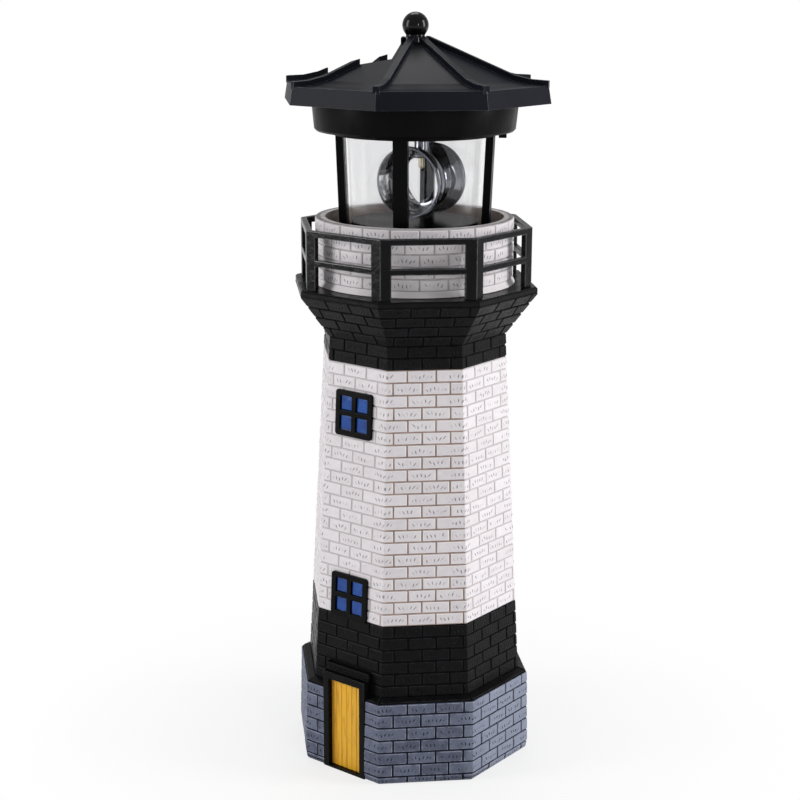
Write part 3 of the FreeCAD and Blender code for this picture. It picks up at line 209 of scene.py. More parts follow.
def brick_paint(name, face, worn, stroke_shade, arris_highlight_shade, roughness, grain, speck="", paler_right_side="",
                **shader_values):
    """Brush-painted cast stone with chisel strokes on each brick.

    The rounded edges of the bricks, which the edge attribute marks, are painted lighter in patches: dry-brushing,
    and a painted highlight on the arris.
    """
    made, tree, shader, place = blank(name, shader_values)
    tone = node(tree, "ShaderNodeAttribute", attribute_name="tone").outputs["Fac"]
    edge = node(tree, "ShaderNodeAttribute", attribute_name="edge").outputs["Fac"]
    stroke = chisel_strokes(tree)
    blotch = node(tree, "ShaderNodeTexNoise", {"Vector": place, "Scale": 1 / (3.5 * MM), "Detail": 6.0,
                                               "Roughness": 0.65})
    aged = node(tree, MATH, {0: tone, 1: 0.3, 2: blotch}, operation="MULTIPLY_ADD")
    amount = node(tree, "ShaderNodeMapRange", {"Value": aged, "From Min": 0.45, "From Max": 0.95})
    tint = node(tree, "ShaderNodeMix", {"Factor": amount, "A": ink(face), "B": ink(worn)}, data_type="RGBA")
    if paler_right_side:
        # The side to the right of the door is painted paler
        across = node(tree, "ShaderNodeVectorMath", {0: place, 1: (0.985, 0.174, 0)}, operation="DOT_PRODUCT")
        pale = node(tree, "ShaderNodeMapRange", {"Value": across, "From Min": 46 * MM, "From Max": 53 * MM,
                                                 "To Min": 0.0, "To Max": 0.55})
        tint = node(tree, "ShaderNodeMix", {"Factor": pale, "A": tint, "B": ink(paler_right_side)}, data_type="RGBA")
    if speck:
        # Light specks 0.3 mm across and 5 mm apart: dust and chips, and painted glints
        dust_and_glint_cells = node(tree, "ShaderNodeTexVoronoi", {"Vector": place, "Scale": 1 / (5 * MM)})
        spot = node(tree, "ShaderNodeMapRange", {"Value": dust_and_glint_cells, "From Min": 0.03, "From Max": 0.06,
                                                 "To Min": 0.6, "To Max": 0.0})
        tint = node(tree, "ShaderNodeMix", {"Factor": spot, "A": tint, "B": ink(speck)}, data_type="RGBA")
    # The bricks' rounded edges are painted lighter in patches: dry-brushing, and a painted highlight on the arris
    patchy = node(tree, "ShaderNodeMapRange", {"Value": blotch, "From Min": 0.4, "From Max": 0.6})
    brushed = node(tree, MATH, {0: edge, 1: patchy}, operation="MULTIPLY")
    tint = node(tree, "ShaderNodeMix", {"Factor": brushed, "A": tint, "B": ink(arris_highlight_shade)}, data_type="RGBA")
    tint = node(tree, "ShaderNodeMix", {"Factor": stroke, "A": tint, "B": ink(stroke_shade)},
                data_type="RGBA")
    grit = node(tree, "ShaderNodeTexNoise", {"Vector": place, "Scale": 1 / (0.8 * MM), "Detail": 4.0})
    height = node(tree, MATH, {0: stroke, 1: -1.5, 2: grit}, operation="MULTIPLY_ADD")
    bump = node(tree, "ShaderNodeBump", {"Height": height, "Distance": grain * MM, "Strength": 1.0})
    gloss = node(tree, "ShaderNodeMapRange", {"Value": blotch, "From Min": 0.3, "From Max": 0.7,
                                              "To Min": roughness - 0.1, "To Max": roughness + 0.12})
    wire(tree, shader, {"Base Color": tint, "Normal": bump, "Roughness": gloss})
    return made


def pointing_with_painted_shade():
    """Lime pointing: pale grey, but painted brown on the side to the right of the door, as painted shade where
    that side is less lit.
    """
    made = material("lime_pointing_painted_shade", "ae9a8f", 0.85, 0.1, 0.6, "8d7b70", 5, Specular_IOR_Level=0.15)
    tree, shader, front_shade_tint = repainted(made)
    place = node(tree, "ShaderNodeTexCoord").outputs["Object"]
    level = node(tree, "ShaderNodeVectorMath", {0: place, 1: (1, 1, 0)}, operation="MULTIPLY")
    bearing = node(tree, "ShaderNodeVectorMath", {0: level}, operation="NORMALIZE")
    facing = node(tree, "ShaderNodeVectorMath", {0: bearing, 1: (0.707, -0.707, 0)}, operation="DOT_PRODUCT")
    # Painted shade: the pointing on this side is painted brown, elsewhere pale grey
    amount = node(tree, "ShaderNodeMapRange", {"Value": facing, "From Min": 0.9, "From Max": 0.93})
    tint = node(tree, "ShaderNodeMix", {"Factor": amount, "A": ink("bfbabc"), "B": front_shade_tint}, data_type="RGBA")
    wire(tree, shader, {"Base Color": tint})
    return made


def chrome_with_painted_reflections():
    """Metallised like the bowls but in small flat facets, each painted a random shade from dark to near white:
    painted reflections.
    """
    made = material("facetted_chrome_painted_reflections", "717278", 0.08, Metallic=1.0)
    tree = made.node_tree
    tone = node(tree, "ShaderNodeAttribute", attribute_name="tone").outputs["Fac"]
    curve = node(tree, MATH, {0: tone, 1: 1.3}, operation="POWER")
    # Painted reflections: each facet is coloured dark or bright at random
    tint = node(tree, "ShaderNodeMix", {"Factor": curve, "A": ink("3a3b40"), "B": ink("f2f2f4")},
                data_type="RGBA")
    wire(tree, tree.nodes["Principled BSDF"], {"Base Color": tint})
    return made


# Whitewashed cast stone: warm white and matt, with grey strokes
white_brick = brick_paint("whitewashed_stone", "e4dfe2", "d7d1d4", "838088", "f3f0f1", 0.6, 0.1,
                          Specular_IOR_Level=0.25)
white_joint = pointing_with_painted_shade()
# The round wall's pointing is nearly as pale as its bricks
drum_joint = material("pale_lime_pointing", "bdb8bb", 0.85, 0.1, 0.6, "a49d9f", 5, Specular_IOR_Level=0.15)
# Black paint on cast stone: a low sheen, edges painted lighter as a painted highlight, and light specks that are
# dust and painted glints
black_brick = brick_paint("black_painted_stone", "0c0c0d", "131315", "040405", "28282c", 0.34, 0.16, "5c5c60",
                          Specular_IOR_Level=0.07)
black_joint = material("black_painted_pointing", "050506", 0.6, 0.12, 0.6, "0a0a0b", 5,
                       Specular_IOR_Level=0.06)
# Blue-grey stone, dry-brushed lighter in patches over dark blue joints, with a painted highlight on the brick
# edges and the side to the right of the door painted paler
stone_brick = brick_paint("blue_grey_stone", "525769", "6e7488", "1f2330", "979cad", 0.5, 0.2,
                          paler_right_side="9ba1b3", Specular_IOR_Level=0.15)
stone_joint = material("navy_pointing", "1d202c", 0.75, 0.15, 0.6, "141620", 4, Specular_IOR_Level=0.1)

# Brushed-on satin black over a casting, slightly uneven
railing_paint = material("satin_black_enamel", "080809", 0.24, 0.3, 3.0, "0e0e10", 9, Specular_IOR_Level=0.1)
frame_paint = material("black_window_enamel", "040404", 0.22, 0.08, 1.8, "080808", 6, Specular_IOR_Level=0.08)
door_black = material("black_door_enamel", "060607", 0.28, 0.08, 1.8, "0c0c0d", 6, Specular_IOR_Level=0.08)
# Gloss blue enamel, pooled in each pane, with soft waves
pane_blue = material("gloss_blue_enamel", "1c4f9e", 0.1, 0.08, 1.6, "10357a", 5, Specular_IOR_Level=0.3)
# Injection-moulded black ABS: fine spark texture, semi-matt
black_abs = material("spark_textured_black_abs", "060607", 0.36, 0.006, 0.35, "09090a", 12,
                     Specular_IOR_Level=0.05)
# The lantern floor is the same plastic, polished, so the lantern mirrors in it
floor_abs = material("polished_black_floor", "050506", 0.2, 0.004, 2.0, "080809", 12, Specular_IOR_Level=0.02)
# Dark ABS roof with a blue cast, satin
roof_abs = material("slate_blue_abs", "13141b", 0.36, 0.004, 0.4, "171821", 30, 0.1, Specular_IOR_Level=0.06)
# The roof's rounded edges: glossier than the roof, and painted light grey as a painted highlight
roof_edge_painted_highlight = material("abs_edge_painted_highlight", "74767f", 0.18, 0.0, 0.4, "4a4b54", 6, Specular_IOR_Level=0.5)
# The railing's rounded edges, painted grey as a painted highlight
railing_edge_painted_highlight = material("enamel_edge_painted_highlight", "3a3a3f", 0.2, 0.1, 1.6, "0c0c0e", 3, Specular_IOR_Level=0.4)
# Polished ABS ball, nearly black
ball_abs = material("polished_black_abs", "060607", 0.1, 0.002, 0.6, "0a0a0b", 8, Specular_IOR_Level=0.2)
# Clear acrylic tube: polished, a trace of lavender where the wall is seen edge on
acrylic = material("clear_acrylic", "8c8d94", 0.0, 0.0, 1.0, "909198", 20, Transmission_Weight=1.0, IOR=1.3,
                   Specular_IOR_Level=0.3, Alpha=0.15)
# Vacuum-metallised ABS: a bright mirror with soft waves, a little softer than polished metal
chrome = material("vacuum_chrome", "8c8d94", 0.05, 0.02, 4.0, "7a7b82", 10, Metallic=1.0)
mosaic_chrome_painted_reflections = chrome_with_painted_reflections()
# Poured clear resin over the cells, a little yellowed in patches
clear_resin = material("clear_resin_coat", "e8eaf0", 0.0, 0.0, 1.0, "e6e7e8", 20, Transmission_Weight=1.0,
                       IOR=1.5, Alpha=0.2)
# Moulded acetal gears: milky white, slightly waxy
acetal = material("natural_acetal", "e2dfd4", 0.38, 0.01, 0.5, "d8d4c6", 7)
# Turned brass pinion: warm yellow with tool marks
brass = material("turned_brass", "c7a05a", 0.28, 0.006, 0.4, "b68f4a", 4, Metallic=1.0)
# Zinc-plated steel: cool grey, satin
zinc = material("zinc_plated_steel", "b4b7ba", 0.32, 0.006, 0.5, "a3a7ac", 5, Metallic=1.0)
# Ground steel pin: bright and even
ground_steel = material("ground_steel_pin", "bfc1c4", 0.18, 0.003, 0.3, "b2b4b8", 3, Metallic=1.0)
# Moulded white ABS stalk: satin
white_abs = material("white_abs", "e6e6e2", 0.35, 0.01, 0.4, "dededa", 7)
# Clear epoxy lens with a warm cast from the phosphor inside it
epoxy_lens = material("warm_epoxy_lens", "fff6dc", 0.05, 0.0, 1.0, "fff2cc", 3, Transmission_Weight=0.8,
                      IOR=1.54)
# Green shrink wrap round the cell: glossy, with faint ripples
shrink_wrap = material("green_shrink_wrap", "1f7a45", 0.22, 0.01, 1.5, "1a6b3c", 8, Coat_Weight=0.3)
# Nickel-plated contact strip: slightly yellow silver
nickel = material("nickel_plated_strip", "c2beb4", 0.25, 0.004, 0.4, "b3afa5", 3, Metallic=1.0)
# Solder mask on the circuit board: deep green, glossy
solder_mask = material("green_solder_mask", "14532a", 0.25, 0.01, 0.8, "18602f", 4)
# Moulded epoxy chip: charcoal, matt
chip_epoxy = material("black_chip_epoxy", "17171a", 0.55, 0.01, 0.25, "1f1f22", 2)
# Aluminium can of the capacitor: dull silver
can_metal = material("aluminium_can", "8f969e", 0.3, 0.006, 0.5, "7f868e", 3, Metallic=1.0)
# Nickel-plated motor can: clean silver
motor_can = material("plated_motor_can", "b9bbbe", 0.26, 0.004, 0.6, "a9acb0", 6, Metallic=1.0)


def casting_finish():
    """The casting where the brick skins leave it bare: black deck, white rim, grey inside the round wall."""
    made = material("cast_stone_paint", "0b0b0c", 0.3, 0.14, 1.4, "121112", 7, Specular_IOR_Level=0.08)
    tree, shader, deck = repainted(made)
    place = node(tree, "ShaderNodeTexCoord").outputs["Object"]
    axes = node(tree, "ShaderNodeSeparateXYZ", {0: place})
    above = node(tree, MATH, {0: axes.outputs["Z"], 1: (Z_DECK + PAINT_LAP) * MM}, operation="GREATER_THAN")
    level = node(tree, "ShaderNodeCombineXYZ", {0: axes.outputs["X"], 1: axes.outputs["Y"]})
    reach = node(tree, "ShaderNodeVectorMath", {0: level}, operation="LENGTH")
    inside = node(tree, MATH, {0: reach, 1: (DRUM_BORE + PAINT_LAP) * MM}, operation="LESS_THAN")
    rim = node(tree, "ShaderNodeMix", {"Factor": above, "A": deck, "B": ink("e4dfe1")}, data_type="RGBA")
    bore = node(tree, "ShaderNodeMix", {"Factor": inside, "A": rim, "B": ink("c2b6ae")}, data_type="RGBA")
    wire(tree, shader, {"Base Color": bore})
    return made


def door_planks():
    """Yellow limewash brushed down each plank, with darker streaks; the leaf is also painted browner towards its
    left edge.
    """
    made = material("yellow_limewashed_planks", "d9aa2e", 0.5)
    tree = made.node_tree
    place = node(tree, "ShaderNodeTexCoord").outputs["Object"]
    down = node(tree, "ShaderNodeMapping", {"Vector": place,
                                            "Scale": (1 / (1.1 * MM), 1 / (1.1 * MM), 1 / (14 * MM))})
    streak = node(tree, "ShaderNodeTexNoise", {"Vector": down, "Scale": 1.0, "Detail": 6.0})
    depth = node(tree, "ShaderNodeMapRange", {"Value": streak, "From Min": 0.5, "From Max": 0.8})
    axes = node(tree, "ShaderNodeSeparateXYZ", {0: place})
    edge = node(tree, "ShaderNodeMapRange", {"Value": axes.outputs["X"], "From Min": -8.6 * MM,
                                             "From Max": -4.0 * MM, "To Min": 0.65, "To Max": 0.0})
    brown = node(tree, MATH, {0: depth, 1: edge}, operation="ADD", use_clamp=True)
    tint = node(tree, "ShaderNodeMix", {"Factor": brown, "A": ink("e3ab1c"), "B": ink("a86c12")},
                data_type="RGBA")
    bump = node(tree, "ShaderNodeBump", {"Height": streak, "Distance": 0.18 * MM, "Strength": 1.0})
    wire(tree, tree.nodes["Principled BSDF"], {"Base Color": tint, "Normal": bump})
    return made


def cell_finish():
    """Blue-black cells under printed silver lines: fine fingers 1.5 mm apart, bars 9 mm apart."""
    made = material("monocrystalline_cell", "10152c", 0.28, 0.006, 0.8, "161d3c", 3)
    tree, shader, dark = repainted(made)
    place = node(tree, "ShaderNodeTexCoord").outputs["Object"]
    turned = node(tree, "ShaderNodeMapping", {"Vector": place, "Rotation": (0, 0, -TRAY_TURN)})
    axes = node(tree, "ShaderNodeSeparateXYZ", {0: turned})
    lines = []
    for axis, spacing, width in (("X", 1.5, 0.14), ("Y", 9, 0.5)):
        spread = node(tree, MATH, {0: axes.outputs[axis], 1: spacing * MM}, operation="PINGPONG")
        lines.append(node(tree, MATH, {0: spread, 1: width / 2 * MM}, operation="LESS_THAN"))
    printed = node(tree, MATH, {0: lines[0], 1: lines[1]}, operation="MAXIMUM")
    tint = node(tree, "ShaderNodeMix", {"Factor": printed, "A": dark, "B": ink("8d919c")}, data_type="RGBA")
    wire(tree, shader, {"Base Color": tint})
    return made


NODE_FINISH = {
    "tower_casting": casting_finish(), "gallery_railing": railing_paint,
    "lower_window_frame": frame_paint, "upper_window_frame": frame_paint,
    "lower_window_panes": pane_blue, "upper_window_panes": pane_blue,
    "door_frame": door_black, "door_leaf": door_planks(),
    "lantern_base": floor_abs, "lantern_cage": black_abs, "clear_tube": acrylic, "head_housing": black_abs,
    "roof_shell": roof_abs, "finial_ball": ball_abs, "solar_panel_board": cell_finish(),
    "solar_panel_glaze": clear_resin, "beacon_reflector": chrome, "output_gear": acetal,
    "idler_gear": acetal, "motor_pinion": brass, "gear_plate": zinc, "idler_axle": ground_steel,
    "motor": motor_can, "led_stalk": white_abs, "led_lamp": epoxy_lens, "battery": shrink_wrap,
    "battery_holder": black_abs, "battery_contact": nickel, "battery_spring": nickel,
    "circuit_board": solder_mask, "charge_controller": chip_epoxy, "storage_capacitor": can_metal,
    "switch_body": black_abs, "switch_knob": black_abs,
}
# The nodes that are left are the screws
for name, item in frame["nodes"].items():
    item.data.materials.clear()
    item.data.materials.append(NODE_FINISH.get(name, zinc))

BODY_OF = {name: body for body, names in frame["record"]["behaviour"]["bodies"].items() for name in names}


# ---------------------------------------------------------------- pieces

def placed(name, data):
    """A new object in the scene."""
    item = bpy.data.objects.new(name, data)
    bpy.context.scene.collection.objects.link(item)
    return item


def finished(bm, name, body, finishes, smooth=None):
    """Turns a mesh made in millimetres into a piece that rides on a body; smooth is an angle in degrees."""
    bmesh.ops.scale(bm, verts=bm.verts, vec=(MM, MM, MM))
    mesh = bpy.data.meshes.new(name)
    bm.to_mesh(mesh)
    bm.free()
    for finish in finishes:
        mesh.materials.append(finish)
    if smooth is not None:
        mesh.shade_smooth()
        mesh.set_sharp_from_angle(angle=math.radians(smooth))
    item = placed(name, mesh)
    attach(item, body)
    return item


def softened(name, node_name, width, smooth=35, segments=2, edge_finish=None):
    """A copy of a solid with its sharp edges rounded, standing for it."""
    bm = bmesh.new()
    bm.from_mesh(frame["nodes"][node_name].data)
    bmesh.ops.remove_doubles(bm, verts=bm.verts, dist=2e-6)
    bmesh.ops.dissolve_limit(bm, angle_limit=math.radians(1), verts=bm.verts, edges=bm.edges)
    bmesh.ops.scale(bm, verts=bm.verts, vec=(1 / MM, 1 / MM, 1 / MM))
    item = finished(bm, name, BODY_OF[node_name], [NODE_FINISH[node_name]], smooth)
    bevel = item.modifiers.new("rounded_edges", "BEVEL")
    bevel.width = width * MM
    bevel.segments = segments
    bevel.limit_method = "ANGLE"
    bevel.angle_limit = math.radians(smooth)
    bevel.harden_normals = True
    if edge_finish:
        item.data.materials.append(edge_finish)
        bevel.material = 1
    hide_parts(node_name)


def spun(profile, steps):
    """A closed profile of (radius, height) points turned all the way round Z."""
    bm = bmesh.new()
    ring = [bm.verts.new((radius, 0, height)) for radius, height in profile]
    edges = [bm.edges.new((ring[index - 1], ring[index])) for index in range(len(ring))]
    bmesh.ops.spin(bm, geom=ring + edges, cent=(0, 0, 0), axis=(0, 0, 1), angle=math.tau, steps=steps,
                   use_merge=True)
    bmesh.ops.remove_doubles(bm, verts=bm.verts, dist=1e-4)
    bmesh.ops.recalc_face_normals(bm, faces=bm.faces)
    return bm


# ---------------------------------------------------------------- brick courses

def bearing(face, segments):
    """A face's place round the tower, counted in half segments from +X."""
    centre = face.calc_center_median()
    return round(math.atan2(centre.y, centre.x) / math.tau * segments * 2) % (segments * 2)


def ring_wall(segments, turn, rings):
    """A closed ring of pointing through (radius, height) rings, with its faces listed ring by ring.

    Its layers hold each brick's shade, half its length and its painted edges, and its chart in millimetres.
    """
    bm = bmesh.new()
    layers = {layer: bm.faces.layers.float.new(layer) for layer in ("tone", "reach", "edge")}
    layers["chart"] = bm.loops.layers.uv.new("brick")
    radius, height = rings[0]
    bmesh.ops.create_circle(bm, segments=segments, radius=radius,
                            matrix=Matrix.Translation((0, 0, height)) @ Matrix.Rotation(turn, 4, "Z"))
    first_edges = list(bm.edges)
    edges, rows = first_edges, []
    for next_radius, next_height in rings[1:]:
        grown = bmesh.ops.extrude_edge_only(bm, edges=edges)["geom"]
        verts = [item for item in grown if isinstance(item, bmesh.types.BMVert)]
        edges = [item for item in grown if isinstance(item, bmesh.types.BMEdge)]
        rows.append([item for item in grown if isinstance(item, bmesh.types.BMFace)])
        bmesh.ops.scale(bm, verts=verts, vec=(next_radius / radius, next_radius / radius, 1))
        bmesh.ops.translate(bm, verts=verts, vec=(0, 0, next_height - height))
        radius, height = next_radius, next_height
    bmesh.ops.bridge_loops(bm, edges=edges + first_edges)
    bmesh.ops.recalc_face_normals(bm, faces=bm.faces)
    for face in bm.faces:
        face.material_index = 1
    return bm, layers, rows


def raise_brick(bm, layers, faces, half_length, dice):
    """Raises faces out of the pointing as one brick with slanting sides and an arris; returns its faces."""
    shade = dice.random()
    bmesh.ops.inset_region(bm, faces=faces, thickness=JOINT / 2, use_boundary=True, use_even_offset=True)
    raised = list(faces)
    rise = BRICK_RISE + dice.uniform(-RISE_PLAY, RISE_PLAY)
    for width, depth in ((BRICK_SLANT, rise), (ARRIS, ARRIS / 2)):
        rim = bmesh.ops.inset_region(bm, faces=faces, thickness=width, depth=depth, use_boundary=True,
                                     use_even_offset=True)["faces"]
        raised += rim
    for face in rim:
        face[layers["edge"]] = 1
    for face in raised:
        face.material_index = 0
        face[layers["tone"]] = shade
        face[layers["reach"]] = half_length
    return raised


def cut_across(bm, wall, right, cuts):
    """Cuts a side of the tower upright at distances to the right of its middle; returns the parts."""
    parts = [wall]
    for cut in cuts:
        geom = list({item for face in parts for item in (face, *face.edges, *face.verts)})
        result = bmesh.ops.bisect_plane(bm, geom=geom, dist=1e-4, plane_co=right * cut, plane_no=right)
        parts = [item for item in result["geom"] if isinstance(item, bmesh.types.BMFace)]
    return parts


def sink(bm, faces, end_heights):
    """Moves faces into the tower as the floor of an opening.

    An opening that runs out at the end of the courses is cut through it as well.
    """
    sides = bmesh.ops.inset_region(bm, faces=faces, thickness=WALL_SLIVER / 2, use_boundary=True,
                                   use_even_offset=True)["faces"]
    ends = {vert for face in sides for vert in face.verts
            if min(abs(vert.co.z - height) for height in end_heights) < 1e-3}
    sunk = list(ends | {vert for face in faces for vert in face.verts})
    bmesh.ops.translate(bm, verts=sunk, vec=INTO_DOOR * OPENING_DEPTH)


def lay_bricks(bm, rows, stages, joints, flip, openings, dice):
    """Cuts the tower's sides at their joints.

    Returns each brick's parts, as faces with the distance where their side starts and its direction to the
    right, listed by (row, side, place); and the faces inside openings.
    """
    bricks, opened = {}, []
    for row, walls in enumerate(rows[:len(stages) - 1]):
        (low_radius, low), (high_radius, high) = stages[row:row + 2]
        half = (low_radius + high_radius) / 2 * HALF_SIDE
        course = joints[(row + flip) % 2]
        for wall in walls:
            side = bearing(wall, SIDES) // 2
            right = Vector((-math.sin(side * SIDE_TURN), math.cos(side * SIDE_TURN), 0))
            cuts = [joint + dice.uniform(-JOINT_PLAY, JOINT_PLAY) for joint in course
                    if abs(joint) < half - CORNER_CLEAR]
            holes = [(left_edge, right_edge) for left_edge, right_edge, bottom, top in openings
                     if side == DOOR_SIDE and bottom < low + ROW_SLACK and top > high - ROW_SLACK]
            for left_edge, right_edge in holes:
                cuts = [cut for cut in cuts if not left_edge - LEAST_BRICK < cut < right_edge + LEAST_BRICK]
                cuts += [left_edge, left_edge + WALL_SLIVER, right_edge - WALL_SLIVER, right_edge]
            for part in cut_across(bm, wall, right, cuts):
                offset = part.calc_center_median().dot(right)
                inside = [min(offset - left_edge, right_edge - offset) for left_edge, right_edge in holes]
                if any(depth > WALL_SLIVER for depth in inside):
                    opened.append(part)
                if any(depth > 0 for depth in inside):
                    continue
                # A brick at a side's left end belongs to the last brick of the side before it
                place = sum(cut < offset for cut in cuts)
                lap = side + SIDES if side == 0 and place == 0 else side
                key = (row, lap, place)
                if place == len(cuts):
                    key = (row, lap, len(course))
                elif place == 0:
                    key = (row, lap - 1, len(course))
                bricks.setdefault(key, []).append((part, lap * 2 * half, right))
    return bricks, opened


def brick_skin(name, stages, joints, flip, brick_finish, joint_finish, openings=()):
    """Courses of raised bricks round the octagon, between rings of (corner radius, height).

    Joints run across each side at the distances given, row about, and bricks wrap round the corners.
    An opening is (left, right, bottom, top) on the door's side, sunk so that no brick shows in it.
    """
    dice = random.Random(name)
    outer = [(radius + SKIN_LIFT / FLAT, height) for radius, height in stages]
    inner = [(outer[end][0] - SKIN_DEPTH / FLAT, stages[end][1]) for end in (-1, 0)]
    bm, layers, rows = ring_wall(SIDES, SIDE_TURN / 2, outer + inner)
    bricks, opened = lay_bricks(bm, rows, stages, joints, flip, openings, dice)
    if opened:
        sink(bm, opened, (stages[0][1], stages[-1][1]))
    for (row, lap, place), parts in bricks.items():
        mid_height = (stages[row][1] + stages[row + 1][1]) / 2
        along = [start + loop.vert.co.dot(right) for part, start, right in parts for loop in part.loops]
        centre = (min(along) + max(along)) / 2
        half_length = (max(along) - min(along)) / 2
        for face in raise_brick(bm, layers, [part for part, start, right in parts], half_length, dice):
            middle = face.calc_center_median()
            nearest = min(parts, key=lambda entry: (entry[0].calc_center_median() - middle).length)
            start, right = nearest[1:]
            for loop in face.loops:
                spot = loop.vert.co
                loop[layers["chart"]].uv = (start + spot.dot(right) - centre, spot.z - mid_height)
    finished(bm, name, "tower", [brick_finish, joint_finish])


def course_stages(low, high, low_radius, high_radius, rows):
    """Evenly spaced rings between two corner radii."""
    return [(low_radius + (high_radius - low_radius) * row / rows, low + (high - low) * row / rows)
            for row in range(rows + 1)]


def hole_behind(node_name, lap):
    """The opening that a fitting covers by lap on the door's side, as left, right, bottom and top."""
    low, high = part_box(node_name)
    return (low[0] / MM + lap, high[0] / MM - lap, low[2] / MM + lap, high[2] / MM - lap)


# The door's opening runs down through the foot, and up past the door's cornice
door_left, door_right, door_bottom, door_top = hole_behind("door_frame", 0.9)
door_hole = (door_left, door_right, door_bottom - 10, door_top + 1.8)
window_holes = [hole_behind("lower_window_frame", 1.0), hole_behind("upper_window_frame", 1.0)]

base_rings = [(BASE_EDGE + (BASE_TOP - BASE_EDGE) * height / Z_BASE, height) for height in BASE_COURSES]
base_rings[0] = (BASE_FOOT, 0)
brick_skin("base_courses", base_rings, BASE_JOINTS, 0, stone_brick, stone_joint, [door_hole])
brick_skin("ledge_course", [(BASE_TOP, Z_BASE), (LEDGE, Z_LEDGE)], ((), ()), 0, black_brick, black_joint,
           [door_hole])
brick_skin("band_courses", course_stages(Z_LEDGE, Z_BAND, LEDGE, BAND, 6), SHAFT_JOINTS, 0, black_brick,
           black_joint, [door_hole])
brick_skin("shaft_courses", course_stages(Z_BAND, Z_SHAFT, BAND, SHAFT, 21), SHAFT_JOINTS, 0, white_brick,
           white_joint, window_holes)
brick_skin("neck_courses", course_stages(Z_SHAFT, Z_NECK, SHAFT, NECK, 2), SHAFT_JOINTS, 1, black_brick,
           black_joint)
brick_skin("flare_courses", course_stages(Z_NECK, Z_FLARE, NECK, DECK, 4), SHAFT_JOINTS, 1, black_brick,
           black_joint)


def drum_courses():
    """Five courses of half-bonded bricks round the wall on the gallery."""
    bricks_round, splits, rows = 22, 4, 5
    segments = bricks_round * splits
    radius = DRUM + SKIN_LIFT
    rings = [*course_stages(Z_DRUM_FOOT, Z_DRUM, radius, radius, rows),
             (radius - DRUM_SKIN_DEPTH, Z_DRUM), (radius - DRUM_SKIN_DEPTH, Z_DRUM_FOOT)]
    bm, layers, ring_faces = ring_wall(segments, 0, rings)
    dice = random.Random("drum")
    half_length = math.pi * radius / bricks_round
    for row, faces in enumerate(ring_faces[:rows]):
        bricks = {}
        for face in faces:
            step = bearing(face, segments) // 2
            bricks.setdefault((step + row % 2 * splits // 2) % segments // splits, []).append(face)
        for brick in bricks.values():
            middle = sum((face.calc_center_median() for face in brick), Vector()) / len(brick)
            right = Vector((-middle.y, middle.x, 0)).normalized()
            for face in raise_brick(bm, layers, brick, half_length, dice):
                for loop in face.loops:
                    loop[layers["chart"]].uv = ((loop.vert.co - middle).dot(right), loop.vert.co.z - middle.z)
    finished(bm, "drum_courses", "tower", [white_brick, drum_joint])


drum_courses()


# ---------------------------------------------------------------- reflector

# The double reflector: bowl and waist radii, half its length and its skin, and the axis it looks along
BOWL, WAIST, BOWL_HALF, BOWL_SKIN = 16.4, 11.6, 13.5, 0.7
BOWL_TURN = math.radians(8.5)
beacon_joint = next(joint for joint in frame["joints"] if joint["name"] == "beacon_spin")
BEACON_MIDDLE = Vector(beacon_joint["pos_m"]) / MM


def beacon_shape(name, profile, steps, smooth, finish):
    """A closed profile of (radius, along) points turned round the bowls' level axis."""
    bm = spun(profile, steps)
    tone = bm.faces.layers.float.new("tone")
    dice = random.Random(name)
    for face in bm.faces:
        face[tone] = dice.random()
    level = Matrix.Rotation(BOWL_TURN, 3, "Z") @ Matrix.Rotation(math.pi / 2, 3, "X")
    bmesh.ops.rotate(bm, verts=bm.verts, matrix=level)
    bmesh.ops.translate(bm, verts=bm.verts, vec=BEACON_MIDDLE)
    return finished(bm, name, "beacon", [finish], smooth)


def bowl_curve(first, last, count, inset, sign=1):
    """Points on a bowl's quarter ellipse between two angles in degrees, moved in from its outer face."""
    angles = [math.radians(first + (last - first) * step / count) for step in range(count + 1)]
    return [(WAIST + (BOWL - WAIST - inset) * math.sin(angle) - inset * (1 - math.sin(angle)) * 0.5,
             sign * (inset * math.cos(angle) + BOWL_HALF * (1 - math.cos(angle)))) for angle in angles]


def mirrored(profile):
    """The same profile on the other bowl, in reverse order."""
    return [(radius, -along) for radius, along in reversed(profile)]


# Both bowls, each with a bead behind its lip and a rounded rim, and a raised ring round the waist
bead = [(BOWL - 0.35, 10.6), (BOWL + 0.15, 10.9), (BOWL + 0.3, 11.4), (BOWL + 0.15, 11.9), (BOWL - 0.1, 12.2)]
lip = [(BOWL + 0.1, 12.8), (BOWL + 0.05, 13.3), (BOWL - 0.2, 13.5), (BOWL - 0.75, 13.45), (BOWL - 0.95, 13.2)]
outside = [(WAIST + 0.5, 0.5), *bowl_curve(14, 74, 12, 0), *bead, *lip]
inside = [*bowl_curve(84, 8, 12, BOWL_SKIN), (WAIST - 0.8, 0.4)]
shell = [*mirrored(outside), *outside, *inside, *mirrored(inside)]
reflector = beacon_shape("reflector_shell", shell, 96, 40, chrome)
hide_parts("beacon_reflector")
# The mirror inside each bowl is a mosaic of small flat facets, with painted reflections in their colours
for side_name, sign in (("front", 1), ("rear", -1)):
    facets = bowl_curve(88, 14, 9, BOWL_SKIN + 0.2, sign)
    backing = bowl_curve(14, 88, 9, BOWL_SKIN - 0.3, sign)
    beacon_shape(f"{side_name}_mosaic", facets + backing, 40, 3, mosaic_chrome_painted_reflections)

